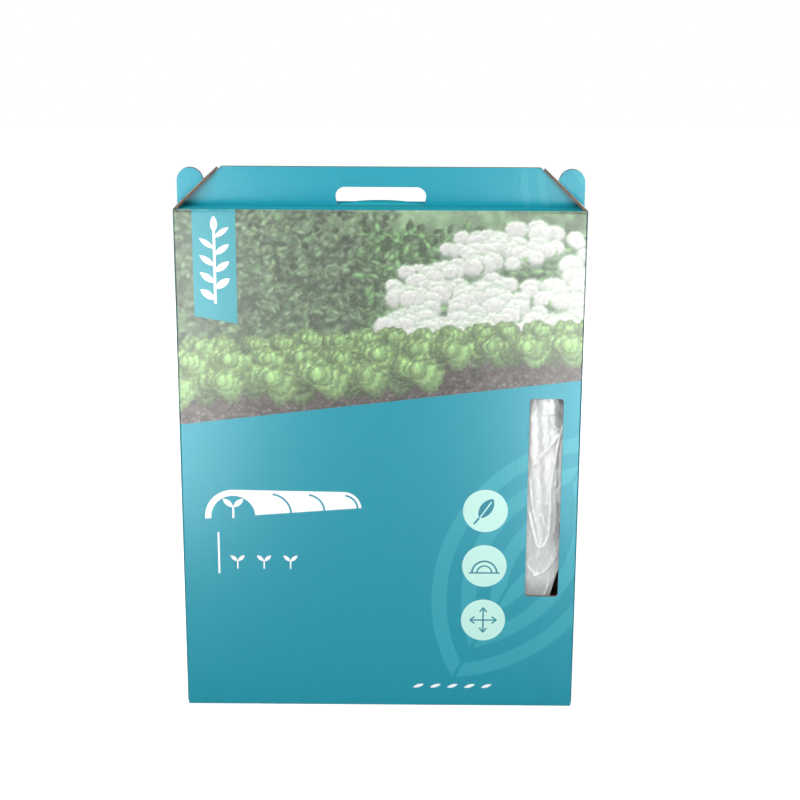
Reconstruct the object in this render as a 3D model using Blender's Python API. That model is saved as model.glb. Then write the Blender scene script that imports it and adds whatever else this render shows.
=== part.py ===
"""Boxed row cover tunnel: a corrugated carton with a locking carry handle and a window,
which holds the folded tunnel, six wire hoops with the gathered polythene film between them.

X runs across the front, Y from front to back and Z up. The origin is the middle of the base.
Lengths are in metres. The carton is sized from what it holds: hoops, film and rooms.
"""

import math

import bmesh
import bpy

# Clearances
FIT = 0.0003  # between pieces that touch
TURN_ROOM = 0.0002  # side panel to the heel of its lock flap

# Hoops, legs down
HOOP_COUNT = 6
HOOP_WIDTH = 0.450  # over the wire
HOOP_HEIGHT = 0.600  # foot to crown, the stakes included
HOOP_WIRE = 0.004
ARCH_SEGMENTS = 22
WIRE_BEVEL_RESOLUTION = 2

# Film, gathered along the hoops
FILM_BAY = 0.0042  # a bay where two wires press it
FILM_END = 0.0050  # an end curtain where the outer wire presses it
FILM_GAP = 0.0004  # between neighbouring bays inside the hoops
FILM_LAP = 0.005  # reach outside the wire's centre line
WIRE_PASS = 0.0085  # width of the pressed strip that the wires lie on
SWELL_RUN = 0.004  # over which the film swells from the pressed strip
LEG_GATHER = 0.086  # reach of the film inwards from a leg
CROWN_GATHER = 0.118  # and from the crown
PLEAT_COUNT = 5
PLEAT_DEPTH = 0.0012
PLEAT_DEPTH_SWING_SHARE = 0.45
PLEAT_SWINGS = 7  # along the whole film
HEM_SPREAD = 0.008  # past the last full pleat
HEM_SWING = 0.004  # how far the hem wanders
HEM_SWINGS = 5
HEM_THIN_SHARE = 0.35
SKIRT_TOP = 0.257  # above the feet, where the film leaves the legs
SKIRT_DRIFT = 0.040  # how far the skirt has moved inwards at its lowest
FILM_FOOT = 0.088  # lowest film above the feet
FILM_END_TAPER_SHARE = 0.6
LEG_STATIONS = 8
ARCH_STATIONS = 14
PRESSED_ONLY = 0.0025  # clear of the wire's centre line from here
SKIRT_SWELL = 0.003

# Board and rooms
BOARD = 0.003
CREASE_RADIUS = 0.003  # outside of a folded edge
CREASE_STEPS = 3
SIDE_ROOM = 0.0095  # hoops to side panels
HEAD_ROOM = 0.0094  # crown to the shelf
FACE_ROOM = 0.0007  # film to the front and rear panels

# Window
WINDOW_WIDTH = 0.040
WINDOW_HEIGHT = 0.250
WINDOW_MARGIN = 0.021  # to the carton's right edge
WINDOW_SILL = 0.1465
WINDOW_RADIUS = 0.004
CORNER_STEPS = 5
CUT_OVERRUN = 0.002  # how far each cutter passes its wall

# Base and glued joint
MINOR_FLAP_LENGTH = 0.060
MAJOR_FLAP_INSET = 0.001
GLUE_FLAP_WIDTH = 0.034
GLUE_FLAP_TAPER = 0.012
GLUE_FLAP_END_ROOM = 0.004

# Carry handle
HANDLE_HEIGHT = 0.045
HANDLE_CORNER = 0.003
EAR_WIDTH = 0.0304
EAR_TOP = 0.0435  # above the shelves
EAR_INSET = 0.0015  # from the carton's side
EAR_STEPS = 14
HOLE_WIDTH = 0.105
HOLE_HEIGHT = 0.022
HOLE_RADIUS = 0.011  # upper corners
HOLE_FOOT_INSET = 0.0033  # how far each side draws in at the crease
HOLE_STEPS = 6
TONGUE_SIDE_ROOM = 0.001
TONGUE_TIP_ROOM = 0.001
TONGUE_SHOULDER = 0.003
TONGUE_STEPS = 16
HINGE_OFFSET = 0.00015  # crease line to the board's face

# Lock flaps
FLAP_LENGTH = 0.065
FLAP_TILT = math.radians(43)
FLAP_SIDE_ROOM = 0.0005  # flap edge to the carton's front and rear
FLAP_END_WIDTH = 0.012  # the flap tapers to this
FLAP_CORNER = 0.003
SLOT_SIDE_ROOM = 0.001  # ears to the slot's sides
SLOT_END_ROOM = 0.0015  # ears to the slot's end, at every angle
SLOT_STEPS = 8

# Carton size, from what it holds
HALF_HOOP = HOOP_WIDTH / 2 - HOOP_WIRE / 2
HOOP_PITCH = HOOP_WIRE + FILM_BAY + 2 * FIT
STACK = HOOP_WIRE + (HOOP_COUNT - 1) * HOOP_PITCH + 2 * (FILM_END + FIT + FACE_ROOM)
HALF_WIDTH = HOOP_WIDTH / 2 + SIDE_ROOM + BOARD
HALF_DEPTH = STACK / 2 + BOARD
HALF_STACK = STACK / 2
FEET = 2 * (BOARD + FIT)
HEIGHT = FEET + HOOP_HEIGHT + HEAD_ROOM + BOARD
ARCH_CENTRE = FEET + HOOP_HEIGHT - HOOP_WIRE / 2 - HALF_HOOP
HINGE_X = HALF_WIDTH + HINGE_OFFSET
HINGE_Z = HEIGHT + TURN_ROOM
HANDLE_BASE = HEIGHT + FIT

# Finishes: colour, roughness, metallic
TEAL_PRINT = ((0.06, 0.36, 0.44, 1.0), 0.35, 0.0)
DARK_TEAL = ((0.03, 0.25, 0.32, 1.0), 0.4, 0.0)
BROWN_BOARD = ((0.42, 0.28, 0.16, 1.0), 0.85, 0.0)
ZINC_WIRE = ((0.62, 0.63, 0.64, 1.0), 0.35, 1.0)
CLEAR_FILM = ((0.86, 0.88, 0.87, 0.6), 0.25, 0.0)


def clear_scene():
    """Remove every object of the startup scene."""
    for thing in list(bpy.data.objects):
        bpy.data.objects.remove(thing, do_unlink=True)


def make_material(name, finish):
    """A Principled material from a finish above."""
    colour, roughness, metallic = finish
    material = bpy.data.materials.new(name)
    material.use_nodes = True
    shader = material.node_tree.nodes["Principled BSDF"]
    shader.inputs["Base Color"].default_value = colour
    shader.inputs["Roughness"].default_value = roughness
    shader.inputs["Metallic"].default_value = metallic
    shader.inputs["Alpha"].default_value = colour[3]
    return material


def add_object(name, data, finish):
    """Link an object that carries its own material."""
    thing = bpy.data.objects.new(name, data)
    bpy.context.scene.collection.objects.link(thing)
    if not data.materials:
        data.materials.append(make_material(name, finish))
    return thing


def mesh_from(name, bm):
    """Turn a bmesh into a mesh with its faces pointing out."""
    bmesh.ops.recalc_face_normals(bm, faces=bm.faces)
    if bm.calc_volume(signed=True) < 0:
        bmesh.ops.reverse_faces(bm, faces=bm.faces)
    mesh = bpy.data.meshes.new(name)
    bm.to_mesh(mesh)
    bm.free()
    return mesh


def arc(centre, radius, start, end, steps):
    """Points along an arc, its ends included, angles in radians."""
    turns = [start + (end - start) * step / steps for step in range(steps + 1)]
    return [(centre[0] + radius * math.cos(a), centre[1] + radius * math.sin(a)) for a in turns]


def rounded_rectangle(left, right, bottom, top, radius, steps):
    """An outline with four round corners, anticlockwise."""
    quarter = math.pi / 2
    corners = [
        (right - radius, bottom + radius, -quarter),
        (right - radius, top - radius, 0),
        (left + radius, top - radius, quarter),
        (left + radius, bottom + radius, 2 * quarter),
    ]
    points = []
    for x, z, turn in corners:
        points += arc((x, z), radius, turn, turn + quarter, steps)
    return points


def bridged_solid(name, loops, sheet=False):
    """A closed solid through loops of as many points, capped at both ends. A sheet's two
    faces, the halves of each loop, are split along the same diagonals, so that sheets nest."""
    bm = bmesh.new()
    rings = [[bm.verts.new(point) for point in loop] for loop in loops]
    for near, far in zip(rings, rings[1:]):
        for i, vert in enumerate(near):
            j = (i + 1) % len(near)
            if not sheet:
                bm.faces.new((vert, near[j], far[j], far[i]))
            elif 2 * i < len(near):
                bm.faces.new((vert, near[j], far[j]))
                bm.faces.new((vert, far[j], far[i]))
            else:
                bm.faces.new((vert, near[j], far[i]))
                bm.faces.new((near[j], far[j], far[i]))
    bm.faces.new(reversed(rings[0]))
    bm.faces.new(rings[-1])
    return mesh_from(name, bm)


def crease_profile():
    """Inset and depth of a folded edge, from the printed face to the inner one."""
    half_gap = FIT / math.sqrt(2)
    profile = []
    for step in range(CREASE_STEPS + 1):
        turn = math.radians(45) * step / CREASE_STEPS
        inset = CREASE_RADIUS * (1 - math.sin(turn))
        profile.append((half_gap + inset, CREASE_RADIUS * (1 - math.cos(turn))))
    profile.append((half_gap + BOARD, BOARD))
    return profile


def board_panel(name, low, high, folded, place, finish=TEAL_PRINT):
    """A board between two corners on its printed face. The sides named in folded end in
    half of a rounded crease, the others are cut square. place turns (across, up, depth)
    into a point of the carton."""
    loops = []
    for inset, depth in crease_profile():
        left = low[0] + (inset if "left" in folded else 0)
        right = high[0] - (inset if "right" in folded else 0)
        bottom = low[1] + (inset if "bottom" in folded else 0)
        top = high[1] - (inset if "top" in folded else 0)
        corners = [(left, bottom), (right, bottom), (right, top), (left, top)]
        loops.append([place(across, up, depth) for across, up in corners])
    return add_object(name, bridged_solid(name, loops), finish)


def add_cutter(name, outline, start, end):
    """A hidden prism along Y, from an outline in X and Z."""
    loops = [[(x, y, z) for x, z in outline] for y in (start, end)]
    cutter = bpy.data.objects.new(name, bridged_solid(name, loops))
    bpy.context.scene.collection.objects.link(cutter)
    cutter.hide_render = True
    cutter.display_type = "WIRE"
    return cutter


def cut(thing, cutter):
    """Subtract a cutter from an object."""
    modifier = thing.modifiers.new(cutter.name, "BOOLEAN")
    modifier.operation = "DIFFERENCE"
    modifier.solver = "EXACT"
    modifier.object = cutter


def make_front_panel():
    """The printed front with its window, which shows the folded film."""
    front = board_panel(
        "front_panel",
        (-HALF_WIDTH, 0),
        (HALF_WIDTH, HEIGHT),
        ("left", "right", "bottom", "top"),
        lambda across, up, depth: (across, -HALF_DEPTH + depth, up),
    )
    right = HALF_WIDTH - WINDOW_MARGIN
    top = WINDOW_SILL + WINDOW_HEIGHT
    outline = rounded_rectangle(
        right - WINDOW_WIDTH, right, WINDOW_SILL, top, WINDOW_RADIUS, CORNER_STEPS
    )
    start = -HALF_DEPTH - CUT_OVERRUN
    cut(front, add_cutter("window_cutter", outline, start, -HALF_STACK + CUT_OVERRUN))


def make_rear_panel():
    """The back, whose left edge folds into the glue flap."""
    board_panel(
        "rear_panel",
        (-HALF_WIDTH + BOARD + FIT, 0),
        (HALF_WIDTH, HEIGHT),
        ("left", "right", "bottom", "top"),
        lambda across, up, depth: (across, HALF_DEPTH - depth, up),
    )


def make_side_panels():
    """The two narrow sides. The left one ends raw over the glue flap."""
    for name, side, folded in (
        ("left_side_panel", -1, ("left", "bottom")),
        ("right_side_panel", 1, ("left", "right", "bottom")),
    ):
        board_panel(
            name,
            (-HALF_DEPTH, BOARD + FIT),
            (HALF_DEPTH, HEIGHT),
            folded,
            lambda across, up, depth, side=side: (side * (HALF_WIDTH - depth), across, up),
        )


def make_glue_flap():
    """The lap behind the left side panel, with tapered ends."""
    printed_face = HALF_WIDTH - BOARD - FIT
    low = (HALF_DEPTH - GLUE_FLAP_WIDTH, FEET + GLUE_FLAP_END_ROOM)
    high = (HALF_DEPTH, HEIGHT - BOARD - GLUE_FLAP_END_ROOM)
    middle = (low[1] + high[1]) / 2

    def place(across, up, depth):
        share = (HALF_DEPTH - across) / GLUE_FLAP_WIDTH
        taper = GLUE_FLAP_TAPER * share * (1 if up < middle else -1)
        return (-printed_face + depth, across, up + taper)

    board_panel("glue_flap", low, high, ("right",), place, BROWN_BOARD)


def make_base():
    """Two short flaps inside and two long ones that meet along the middle of the base."""
    for name, side in (("bottom_front_flap", -1), ("bottom_rear_flap", 1)):
        board_panel(
            name,
            (-HALF_WIDTH + MAJOR_FLAP_INSET, -HALF_DEPTH),
            (HALF_WIDTH - MAJOR_FLAP_INSET, -FIT / 2),
            ("bottom",),
            lambda across, up, depth, side=side: (across, -side * up, depth),
        )
    for name, side in (("bottom_left_flap", -1), ("bottom_right_flap", 1)):
        board_panel(
            name,
            (-HALF_WIDTH, -HALF_STACK + FIT),
            (-HALF_WIDTH + MINOR_FLAP_LENGTH, HALF_STACK - FIT),
            ("left",),
            lambda across, up, depth, side=side: (-side * across, up, BOARD + FIT + depth),
            BROWN_BOARD,
        )


def make_shelves():
    """The two halves of the top, which fold in from the front and the back."""
    reach = HALF_WIDTH - BOARD - FIT
    for name, side in (("front_top_shelf", -1), ("rear_top_shelf", 1)):
        board_panel(
            name,
            (-reach, -HALF_DEPTH),
            (reach, -FIT / 2),
            ("bottom",),
            lambda across, up, depth, side=side: (across, -side * up, HEIGHT - depth),
            DARK_TEAL,
        )


def ear_centre():
    """Centre of the ear's round top, on the right side."""
    radius = EAR_WIDTH / 2
    return (HALF_WIDTH - EAR_INSET - radius, HEIGHT + EAR_TOP - radius)


def mitre_offset():
    """How far inside the hinge line the handle's sloping end meets the hinge's height."""
    return (HINGE_OFFSET + BOARD + FIT) / math.sin(FLAP_TILT)


def ear_meets_mitre():
    """Angle round the ear's centre at which its edge meets the sloping end."""
    centre = ear_centre()
    radius = EAR_WIDTH / 2
    normal = (math.sin(FLAP_TILT), math.cos(FLAP_TILT))
    on_line = (HINGE_X - mitre_offset(), HINGE_Z)
    reach = (on_line[0] - centre[0]) * normal[0] + (on_line[1] - centre[1]) * normal[1]
    return math.radians(90) - FLAP_TILT + math.acos(max(-1.0, min(1.0, reach / radius)))


def handle_half():
    """Outer outline of the handle's right half, from the crease round to the top edge."""
    centre = ear_centre()
    radius = EAR_WIDTH / 2
    points = [(HALF_WIDTH - EAR_INSET, HANDLE_BASE)]
    points += arc(centre, radius, 0, ear_meets_mitre(), EAR_STEPS)
    top = HEIGHT + HANDLE_HEIGHT
    corner_x = HINGE_X - mitre_offset() - (top - HINGE_Z) / math.tan(FLAP_TILT)
    tangent = HANDLE_CORNER * math.tan(FLAP_TILT / 2)
    start = math.radians(90) - FLAP_TILT
    fillet_centre = (corner_x - tangent, top - HANDLE_CORNER)
    points += arc(fillet_centre, HANDLE_CORNER, start, math.pi / 2, CORNER_STEPS)
    return points


def hole_half():
    """Outline of the hand hole's right half, from its top down to the crease."""
    half = HOLE_WIDTH / 2
    waist = HEIGHT + HOLE_HEIGHT - HOLE_RADIUS
    points = arc((half - HOLE_RADIUS, waist), HOLE_RADIUS, math.pi / 2, 0, HOLE_STEPS)
    drop = waist - HANDLE_BASE
    radius = (drop**2 + HOLE_FOOT_INSET**2) / (2 * HOLE_FOOT_INSET)
    sweep = math.asin(drop / radius)
    return points + arc((half - radius, waist), radius, 0, -sweep, HOLE_STEPS)[1:]


def make_handle_panels():
    """The upright panels of the handle, back to back, with ears and an open-footed hole."""
    right = handle_half()
    left = [(-x, z) for x, z in reversed(right)]
    hole = hole_half()
    outline = right + left + [(-x, z) for x, z in reversed(hole)] + hole
    for name, near, far in (
        ("front_handle_panel", -FIT / 2 - BOARD, -FIT / 2),
        ("rear_handle_panel", FIT / 2, FIT / 2 + BOARD),
    ):
        loops = [[(x, y, z) for x, z in outline] for y in (near, far)]
        add_object(name, bridged_solid(name, loops), TEAL_PRINT)


def make_tongue():
    """The tongue cut from the hand hole, folded back through it over the rear shelf."""
    half = HOLE_WIDTH / 2 - HOLE_FOOT_INSET - TONGUE_SIDE_ROOM
    heel = FIT
    length = HOLE_HEIGHT - TONGUE_TIP_ROOM - HINGE_OFFSET
    rise = length - TONGUE_SHOULDER
    radius = (half**2 + rise**2) / (2 * rise)
    sweep = math.asin(half / radius)
    centre = (0, length - radius)
    tip = arc(centre, radius, math.pi / 2 - sweep, math.pi / 2 + sweep, TONGUE_STEPS)
    lower = [(-half, heel)] + [(half, heel)] + tip
    upper = [(-half, heel + BOARD)] + [(half, heel + BOARD)] + tip
    face = HINGE_OFFSET
    loops = [
        [(x, along, face) for x, along in lower],
        [(x, along, face + BOARD) for x, along in upper],
    ]
    tongue = add_object("hand_hole_tongue", bridged_solid("tongue", loops), DARK_TEAL)
    tongue.location = (0, -FIT / 2, HEIGHT + HINGE_OFFSET)


def slot_reach():
    """How far from the flap's crease its slot must run to pass the ears as it swings."""
    centre = ear_centre()
    to_centre = math.hypot(HINGE_X - centre[0], centre[1] - HINGE_Z)
    return to_centre + EAR_WIDTH / 2 + SLOT_END_ROOM


def lock_flap_outline(heel):
    """A flap seen square on: along it from the crease, and across. heel is where it starts."""
    across = HALF_DEPTH - FLAP_SIDE_ROOM
    slot = FIT / 2 + BOARD + SLOT_SIDE_ROOM
    quarter = math.pi / 2
    taper = math.atan((across - FLAP_END_WIDTH / 2) / FLAP_LENGTH)
    end, aside = FLAP_LENGTH - FLAP_CORNER, FLAP_END_WIDTH / 2 - FLAP_CORNER
    points = [(heel, -across)]
    points += arc((end, -aside), FLAP_CORNER, taper - quarter, 0, CORNER_STEPS)
    points += arc((end, aside), FLAP_CORNER, 0, quarter - taper, CORNER_STEPS)
    points += [(heel, across), (heel, slot)]
    points += arc((slot_reach() - slot, 0), slot, quarter, -quarter, SLOT_STEPS)
    points.append((heel, -slot))
    return points


def make_lock_flaps():
    """The sloping side flaps, each slotted over the two ears on its side. The heel is
    crushed to a bevel so that the flap stands over the side panel without touching it."""
    outer = [(along, y, -HINGE_OFFSET) for along, y in lock_flap_outline(FIT)]
    inner_heel = FIT + BOARD / math.tan(FLAP_TILT)
    inner = [(along, y, -HINGE_OFFSET - BOARD) for along, y in lock_flap_outline(inner_heel)]
    mesh = bridged_solid("lock_flap", [inner, outer])
    for name, side, turn in (("left_lock_flap", -1, 0), ("right_lock_flap", 1, math.pi)):
        flap = add_object(name, mesh, TEAL_PRINT)
        flap.location = (side * HINGE_X, 0, HINGE_Z)
        flap.rotation_euler = (0, -FLAP_TILT, turn)


def hoop_y(index):
    """Depth of a hoop's wire, counted from the front."""
    return (index - (HOOP_COUNT - 1) / 2) * HOOP_PITCH


def make_hoops():
    """The wire hoops, one behind the other on the base flaps."""
    points = [(-HALF_HOOP, FEET)]
    points += arc((0, ARCH_CENTRE), HALF_HOOP, math.pi, 0, ARCH_SEGMENTS)
    points.append((HALF_HOOP, FEET))
    curve = bpy.data.curves.new("hoop", "CURVE")
    curve.dimensions = "3D"
    curve.bevel_depth = HOOP_WIRE / 2
    curve.bevel_resolution = WIRE_BEVEL_RESOLUTION
    curve.use_fill_caps = True
    spline = curve.splines.new("POLY")
    spline.points.add(len(points) - 1)
    for point, (x, z) in zip(spline.points, points):
        point.co = (x, 0, z, 1)
    for index in range(HOOP_COUNT):
        hoop = add_object(f"hoop_{index + 1}", curve, ZINC_WIRE)
        hoop.location = (0, hoop_y(index), 0)


def film_stations():
    """Centre line point and inward direction of each film station, from the left leg's hem
    over the crown to the right leg's."""
    low = FEET + FILM_FOOT
    leg = [low + (ARCH_CENTRE - low) * step / LEG_STATIONS for step in range(LEG_STATIONS)]
    stations = [((-HALF_HOOP, z), (1.0, 0.0)) for z in leg]
    for step in range(ARCH_STATIONS + 1):
        turn = math.pi * (1 - step / ARCH_STATIONS)
        away = (math.cos(turn), math.sin(turn))
        point = (HALF_HOOP * away[0], ARCH_CENTRE + HALF_HOOP * away[1])
        stations.append((point, (-away[0], -away[1])))
    stations += [((HALF_HOOP, z), (-1.0, 0.0)) for z in reversed(leg)]
    return stations


def clamp(value):
    """Keep a share between nought and one."""
    return max(0.0, min(1.0, value))


def film_columns(point, share):
    """Distances inwards of the pleats' crests at a station, the same in every bay."""
    drift = SKIRT_DRIFT * clamp((FEET + SKIRT_TOP - point[1]) / (SKIRT_TOP - FILM_FOOT))
    start = drift - FILM_LAP
    crown = clamp((point[1] - ARCH_CENTRE) / HALF_HOOP)
    gather = LEG_GATHER + (CROWN_GATHER - LEG_GATHER) * crown
    swell = start + WIRE_PASS + SWELL_RUN
    narrowing = 1 - (1 - FILM_END_TAPER_SHARE) * clamp(drift / SKIRT_DRIFT)
    pleat = (gather * narrowing - swell + drift) / PLEAT_COUNT
    crests = [swell + pleat * count for count in range(PLEAT_COUNT + 1)]
    swing = math.sin(2 * math.pi * PLEAT_SWINGS * share)
    depth = PLEAT_DEPTH * (1 - PLEAT_DEPTH_SWING_SHARE * (0.5 + 0.5 * swing))
    return start, crests, pleat, depth


def film_ring(station, share, near, far, phase):
    """One ring round a bay: its front face outwards to the hem, then its back face home.
    near and far each give a face's depth from how far it swells and its pleat's wave."""
    point, inwards = station
    start, crests, pleat, depth = film_columns(point, share)
    loose = clamp((start - PRESSED_ONLY) / SKIRT_SWELL)
    columns = [(start, loose, 0.0), (start + WIRE_PASS, loose, 0.0)]
    for count, crest in enumerate(crests):
        wave = 0.0 if count == 0 else depth * (-1) ** count
        columns.append((crest, 1.0, wave))
    hem = HEM_SPREAD + HEM_SWING * math.sin(2 * math.pi * HEM_SWINGS * share + phase)
    last = columns[-1][2]
    hem_wave = last * (1 - 2 * hem / pleat)
    ring = []
    for u, swell, wave in columns:
        ring.append((u, near(swell) + wave * swell))
    front, back = near(1.0) + hem_wave, far(1.0) + hem_wave
    middle, half = (front + back) / 2, (back - front) / 2 * HEM_THIN_SHARE
    ring += [(crests[-1] + hem, middle - half), (crests[-1] + hem, middle + half)]
    for u, swell, wave in reversed(columns):
        ring.append((u, far(swell) + wave * swell))
    return [(point[0] + inwards[0] * u, y, point[1] + inwards[1] * u) for u, y in ring]


def add_film(name, near, far, phase):
    """A gathered length of film between two faces that follow the hoops."""
    stations = film_stations()
    loops = []
    for count, station in enumerate(stations):
        share = count / (len(stations) - 1)
        loops.append(film_ring(station, share, near, far, phase))
    add_object(name, bridged_solid(name, loops, sheet=True), CLEAR_FILM)


def make_film():
    """Five bays between the hoops and an end curtain outside each outer hoop."""
    pressed = HOOP_WIRE / 2 + FIT
    loose = FILM_GAP / 2
    limit = HALF_STACK - FACE_ROOM

    def behind(wire):
        return lambda swell: wire + pressed + (loose - pressed) * swell

    def before(wire):
        return lambda swell: wire - pressed - (loose - pressed) * swell

    def front_face(swell):
        return -limit + PLEAT_DEPTH * swell

    def rear_face(swell):
        return limit - PLEAT_DEPTH * swell

    add_film("film_end_front", front_face, before(hoop_y(0)), 0)
    for index in range(HOOP_COUNT - 1):
        add_film(
            f"film_bay_{index + 1}", behind(hoop_y(index)), before(hoop_y(index + 1)), index + 1
        )
    add_film("film_end_rear", behind(hoop_y(HOOP_COUNT - 1)), rear_face, HOOP_COUNT)


def main():
    """Build the carton, its carry handle and what it holds."""
    clear_scene()
    make_front_panel()
    make_rear_panel()
    make_side_panels()
    make_glue_flap()
    make_base()
    make_shelves()
    make_handle_panels()
    make_tongue()
    make_lock_flaps()
    make_hoops()
    make_film()


main()
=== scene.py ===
"""Looks of a boxed row cover tunnel: a printed, fluted carton with a locking carry handle and
a window, and the folded hoops and gathered film that it holds.

Lengths are in metres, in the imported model's frame: X runs across the printed front, Y from
the front to the back and Z up. The printed front is drawn in millimetres.
"""

import logging
import math
from dataclasses import dataclass
from enum import Enum
from typing import Callable, Iterable, Sequence

import bmesh
import bpy
import numpy as np
from mathutils import Matrix, Vector


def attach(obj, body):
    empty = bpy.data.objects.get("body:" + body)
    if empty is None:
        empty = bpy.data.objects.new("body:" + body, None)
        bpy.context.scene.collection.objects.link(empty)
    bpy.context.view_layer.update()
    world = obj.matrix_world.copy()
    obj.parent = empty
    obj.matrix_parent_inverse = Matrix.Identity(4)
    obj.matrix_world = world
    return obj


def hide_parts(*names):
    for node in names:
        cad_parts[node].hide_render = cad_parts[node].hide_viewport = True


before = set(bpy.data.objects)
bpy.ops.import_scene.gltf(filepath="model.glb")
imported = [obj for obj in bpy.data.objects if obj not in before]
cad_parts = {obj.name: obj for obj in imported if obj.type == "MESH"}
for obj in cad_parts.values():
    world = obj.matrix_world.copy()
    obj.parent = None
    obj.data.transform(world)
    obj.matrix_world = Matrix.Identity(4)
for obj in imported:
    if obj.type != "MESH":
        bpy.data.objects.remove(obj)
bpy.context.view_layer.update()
LOG = logging.getLogger("row_cover_tunnel")

MM = 0.001
QUARTER = math.pi / 2
TAU = 2 * math.pi
GOLDEN_ANGLE = 2.39996
SHARP_ANGLE = math.radians(35)  # edges that turn by more than this stay sharp in smooth shading
Point = tuple[float, float]
Spot = tuple[float, float, float]
Colour = tuple[float, float, float, float]
Place = Callable[[float, float, float], Spot]


def linear_light(shares: np.ndarray) -> np.ndarray:
    """Turn a screen's values, from 0 to 1, into the linear ones that shaders take."""
    return np.where(shares <= 0.04045, shares / 12.92, ((shares + 0.055) / 1.055) ** 2.4)


def linear(red: float, green: float, blue: float) -> Colour:
    """Turn a screen colour, its parts from 0 to 255, into a linear and opaque one."""
    return (*linear_light(np.array((red, green, blue)) / 255).tolist(), 1.0)


def arc(centre: Point, radius: float, start: float, end: float, steps: int) -> list[Point]:
    """Points along an arc, its ends included.

    Args:
        centre: middle of the arc.
        radius: its radius.
        start, end: angles in radians.
        steps: how many chords.

    Returns:
        The points in order.
    """
    turns = [start + (end - start) * step / steps for step in range(steps + 1)]
    return [(centre[0] + radius * math.cos(a), centre[1] + radius * math.sin(a)) for a in turns]


def link(name: str, mesh: bpy.types.Mesh) -> bpy.types.Object:
    """Put a mesh into the scene as an object at the origin."""
    thing = bpy.data.objects.new(name, mesh)
    bpy.context.scene.collection.objects.link(thing)
    return thing


def settle(name: str, bm: bmesh.types.BMesh, *materials: bpy.types.Material) -> bpy.types.Object:
    """Turn a bmesh into an object.

    Args:
        name: the piece's name.
        bm: its faces, freed here.
        materials: the piece's slots, in order.

    Returns:
        The object.
    """
    mesh = bpy.data.meshes.new(name)
    bm.to_mesh(mesh)
    bm.free()
    for material in materials:
        mesh.materials.append(material)
    return link(name, mesh)


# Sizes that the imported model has


@dataclass(frozen=True)
class CartonSizes:
    """The carton's sizes, as the solids have them."""

    half_width: float = 0.2375
    half_depth: float = 0.033
    height: float = 0.619
    board: float = 0.003
    fit: float = 0.0003
    crease_radius: float = 0.003
    hinge_offset: float = 0.00015
    hinge_x: float = 0.23765
    hinge_z: float = 0.6192
    window: tuple[float, float, float, float] = (0.1765, 0.2165, 0.1465, 0.3965)
    window_radius: float = 0.004


@dataclass(frozen=True)
class HoopSizes:
    """The hoops and the film that is gathered along them, as the solids have them."""

    count: int = 6
    half_span: float = 0.223
    feet: float = 0.0066
    arch_centre: float = 0.3816
    pitch: float = 0.0088
    half_stack: float = 0.030
    film_foot: float = 0.088
    skirt_top: float = 0.213
    skirt_drift: float = 0.035
    lap: float = 0.005
    leg_gather: float = 0.086
    crown_gather: float = 0.118

    def wire_y(self, index: int) -> float:
        """Depth of a hoop's wire, counted from the front."""
        return (index - (self.count - 1) / 2) * self.pitch


CARTON = CartonSizes()
HOOPS = HoopSizes()


# Shader helpers


class Field:
    """A number in a shader tree that Python's operators work on."""

    def __init__(self, tree: bpy.types.NodeTree, socket: bpy.types.NodeSocket) -> None:
        """Hold a socket of a tree."""
        self.tree = tree
        self.socket = socket

    def apply(self, operation: str, *others: "Field | float", clamp: bool = False) -> "Field":
        """Work out a Math node.

        Args:
            operation: the node's operation.
            others: its other inputs.
            clamp: keep the result between 0 and 1.

        Returns:
            The result.
        """
        node = self.tree.nodes.new("ShaderNodeMath")
        node.operation = operation
        node.use_clamp = clamp
        for socket, value in zip(node.inputs, (self, *others)):
            if isinstance(value, Field):
                self.tree.links.new(value.socket, socket)
            else:
                socket.default_value = value
        return Field(self.tree, node.outputs[0])

    def __add__(self, other: "Field | float") -> "Field":
        """Sum."""
        return self.apply("ADD", other)

    def __sub__(self, other: "Field | float") -> "Field":
        """Difference."""
        return self.apply("SUBTRACT", other)

    def __rsub__(self, other: float) -> "Field":
        """What is left of a plain number."""
        return -self + other

    def __mul__(self, other: "Field | float") -> "Field":
        """Product."""
        return self.apply("MULTIPLY", other)

    def __truediv__(self, other: "Field | float") -> "Field":
        """Quotient."""
        return self.apply("DIVIDE", other)

    def __neg__(self) -> "Field":
        """The other sign."""
        return self.apply("MULTIPLY", -1.0)

    def size(self) -> "Field":
        """Without its sign."""
        return self.apply("ABSOLUTE")

    def least(self, other: "Field | float") -> "Field":
        """The smaller of two."""
        return self.apply("MINIMUM", other)

    def most(self, other: "Field | float") -> "Field":
        """The larger of two."""
        return self.apply("MAXIMUM", other)

    def sine(self) -> "Field":
        """Sine of an angle in radians."""
        return self.apply("SINE")

    def fraction(self) -> "Field":
        """What is left after the whole number."""
        return self.apply("FRACT")

    def root_of_squares(self, other: "Field") -> "Field":
        """Length of a vector of two parts."""
        return (self * self + other * other).apply("SQRT")

    def clamped(self) -> "Field":
        """Kept between 0 and 1."""
        return self.apply("ADD", 0.0, clamp=True)

    def within(self, soft: float) -> "Field":
        """1 where a distance to an outline is negative, with an edge this soft."""
        return self.apply("MULTIPLY_ADD", -0.5 / soft, 0.5, clamp=True)


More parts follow.
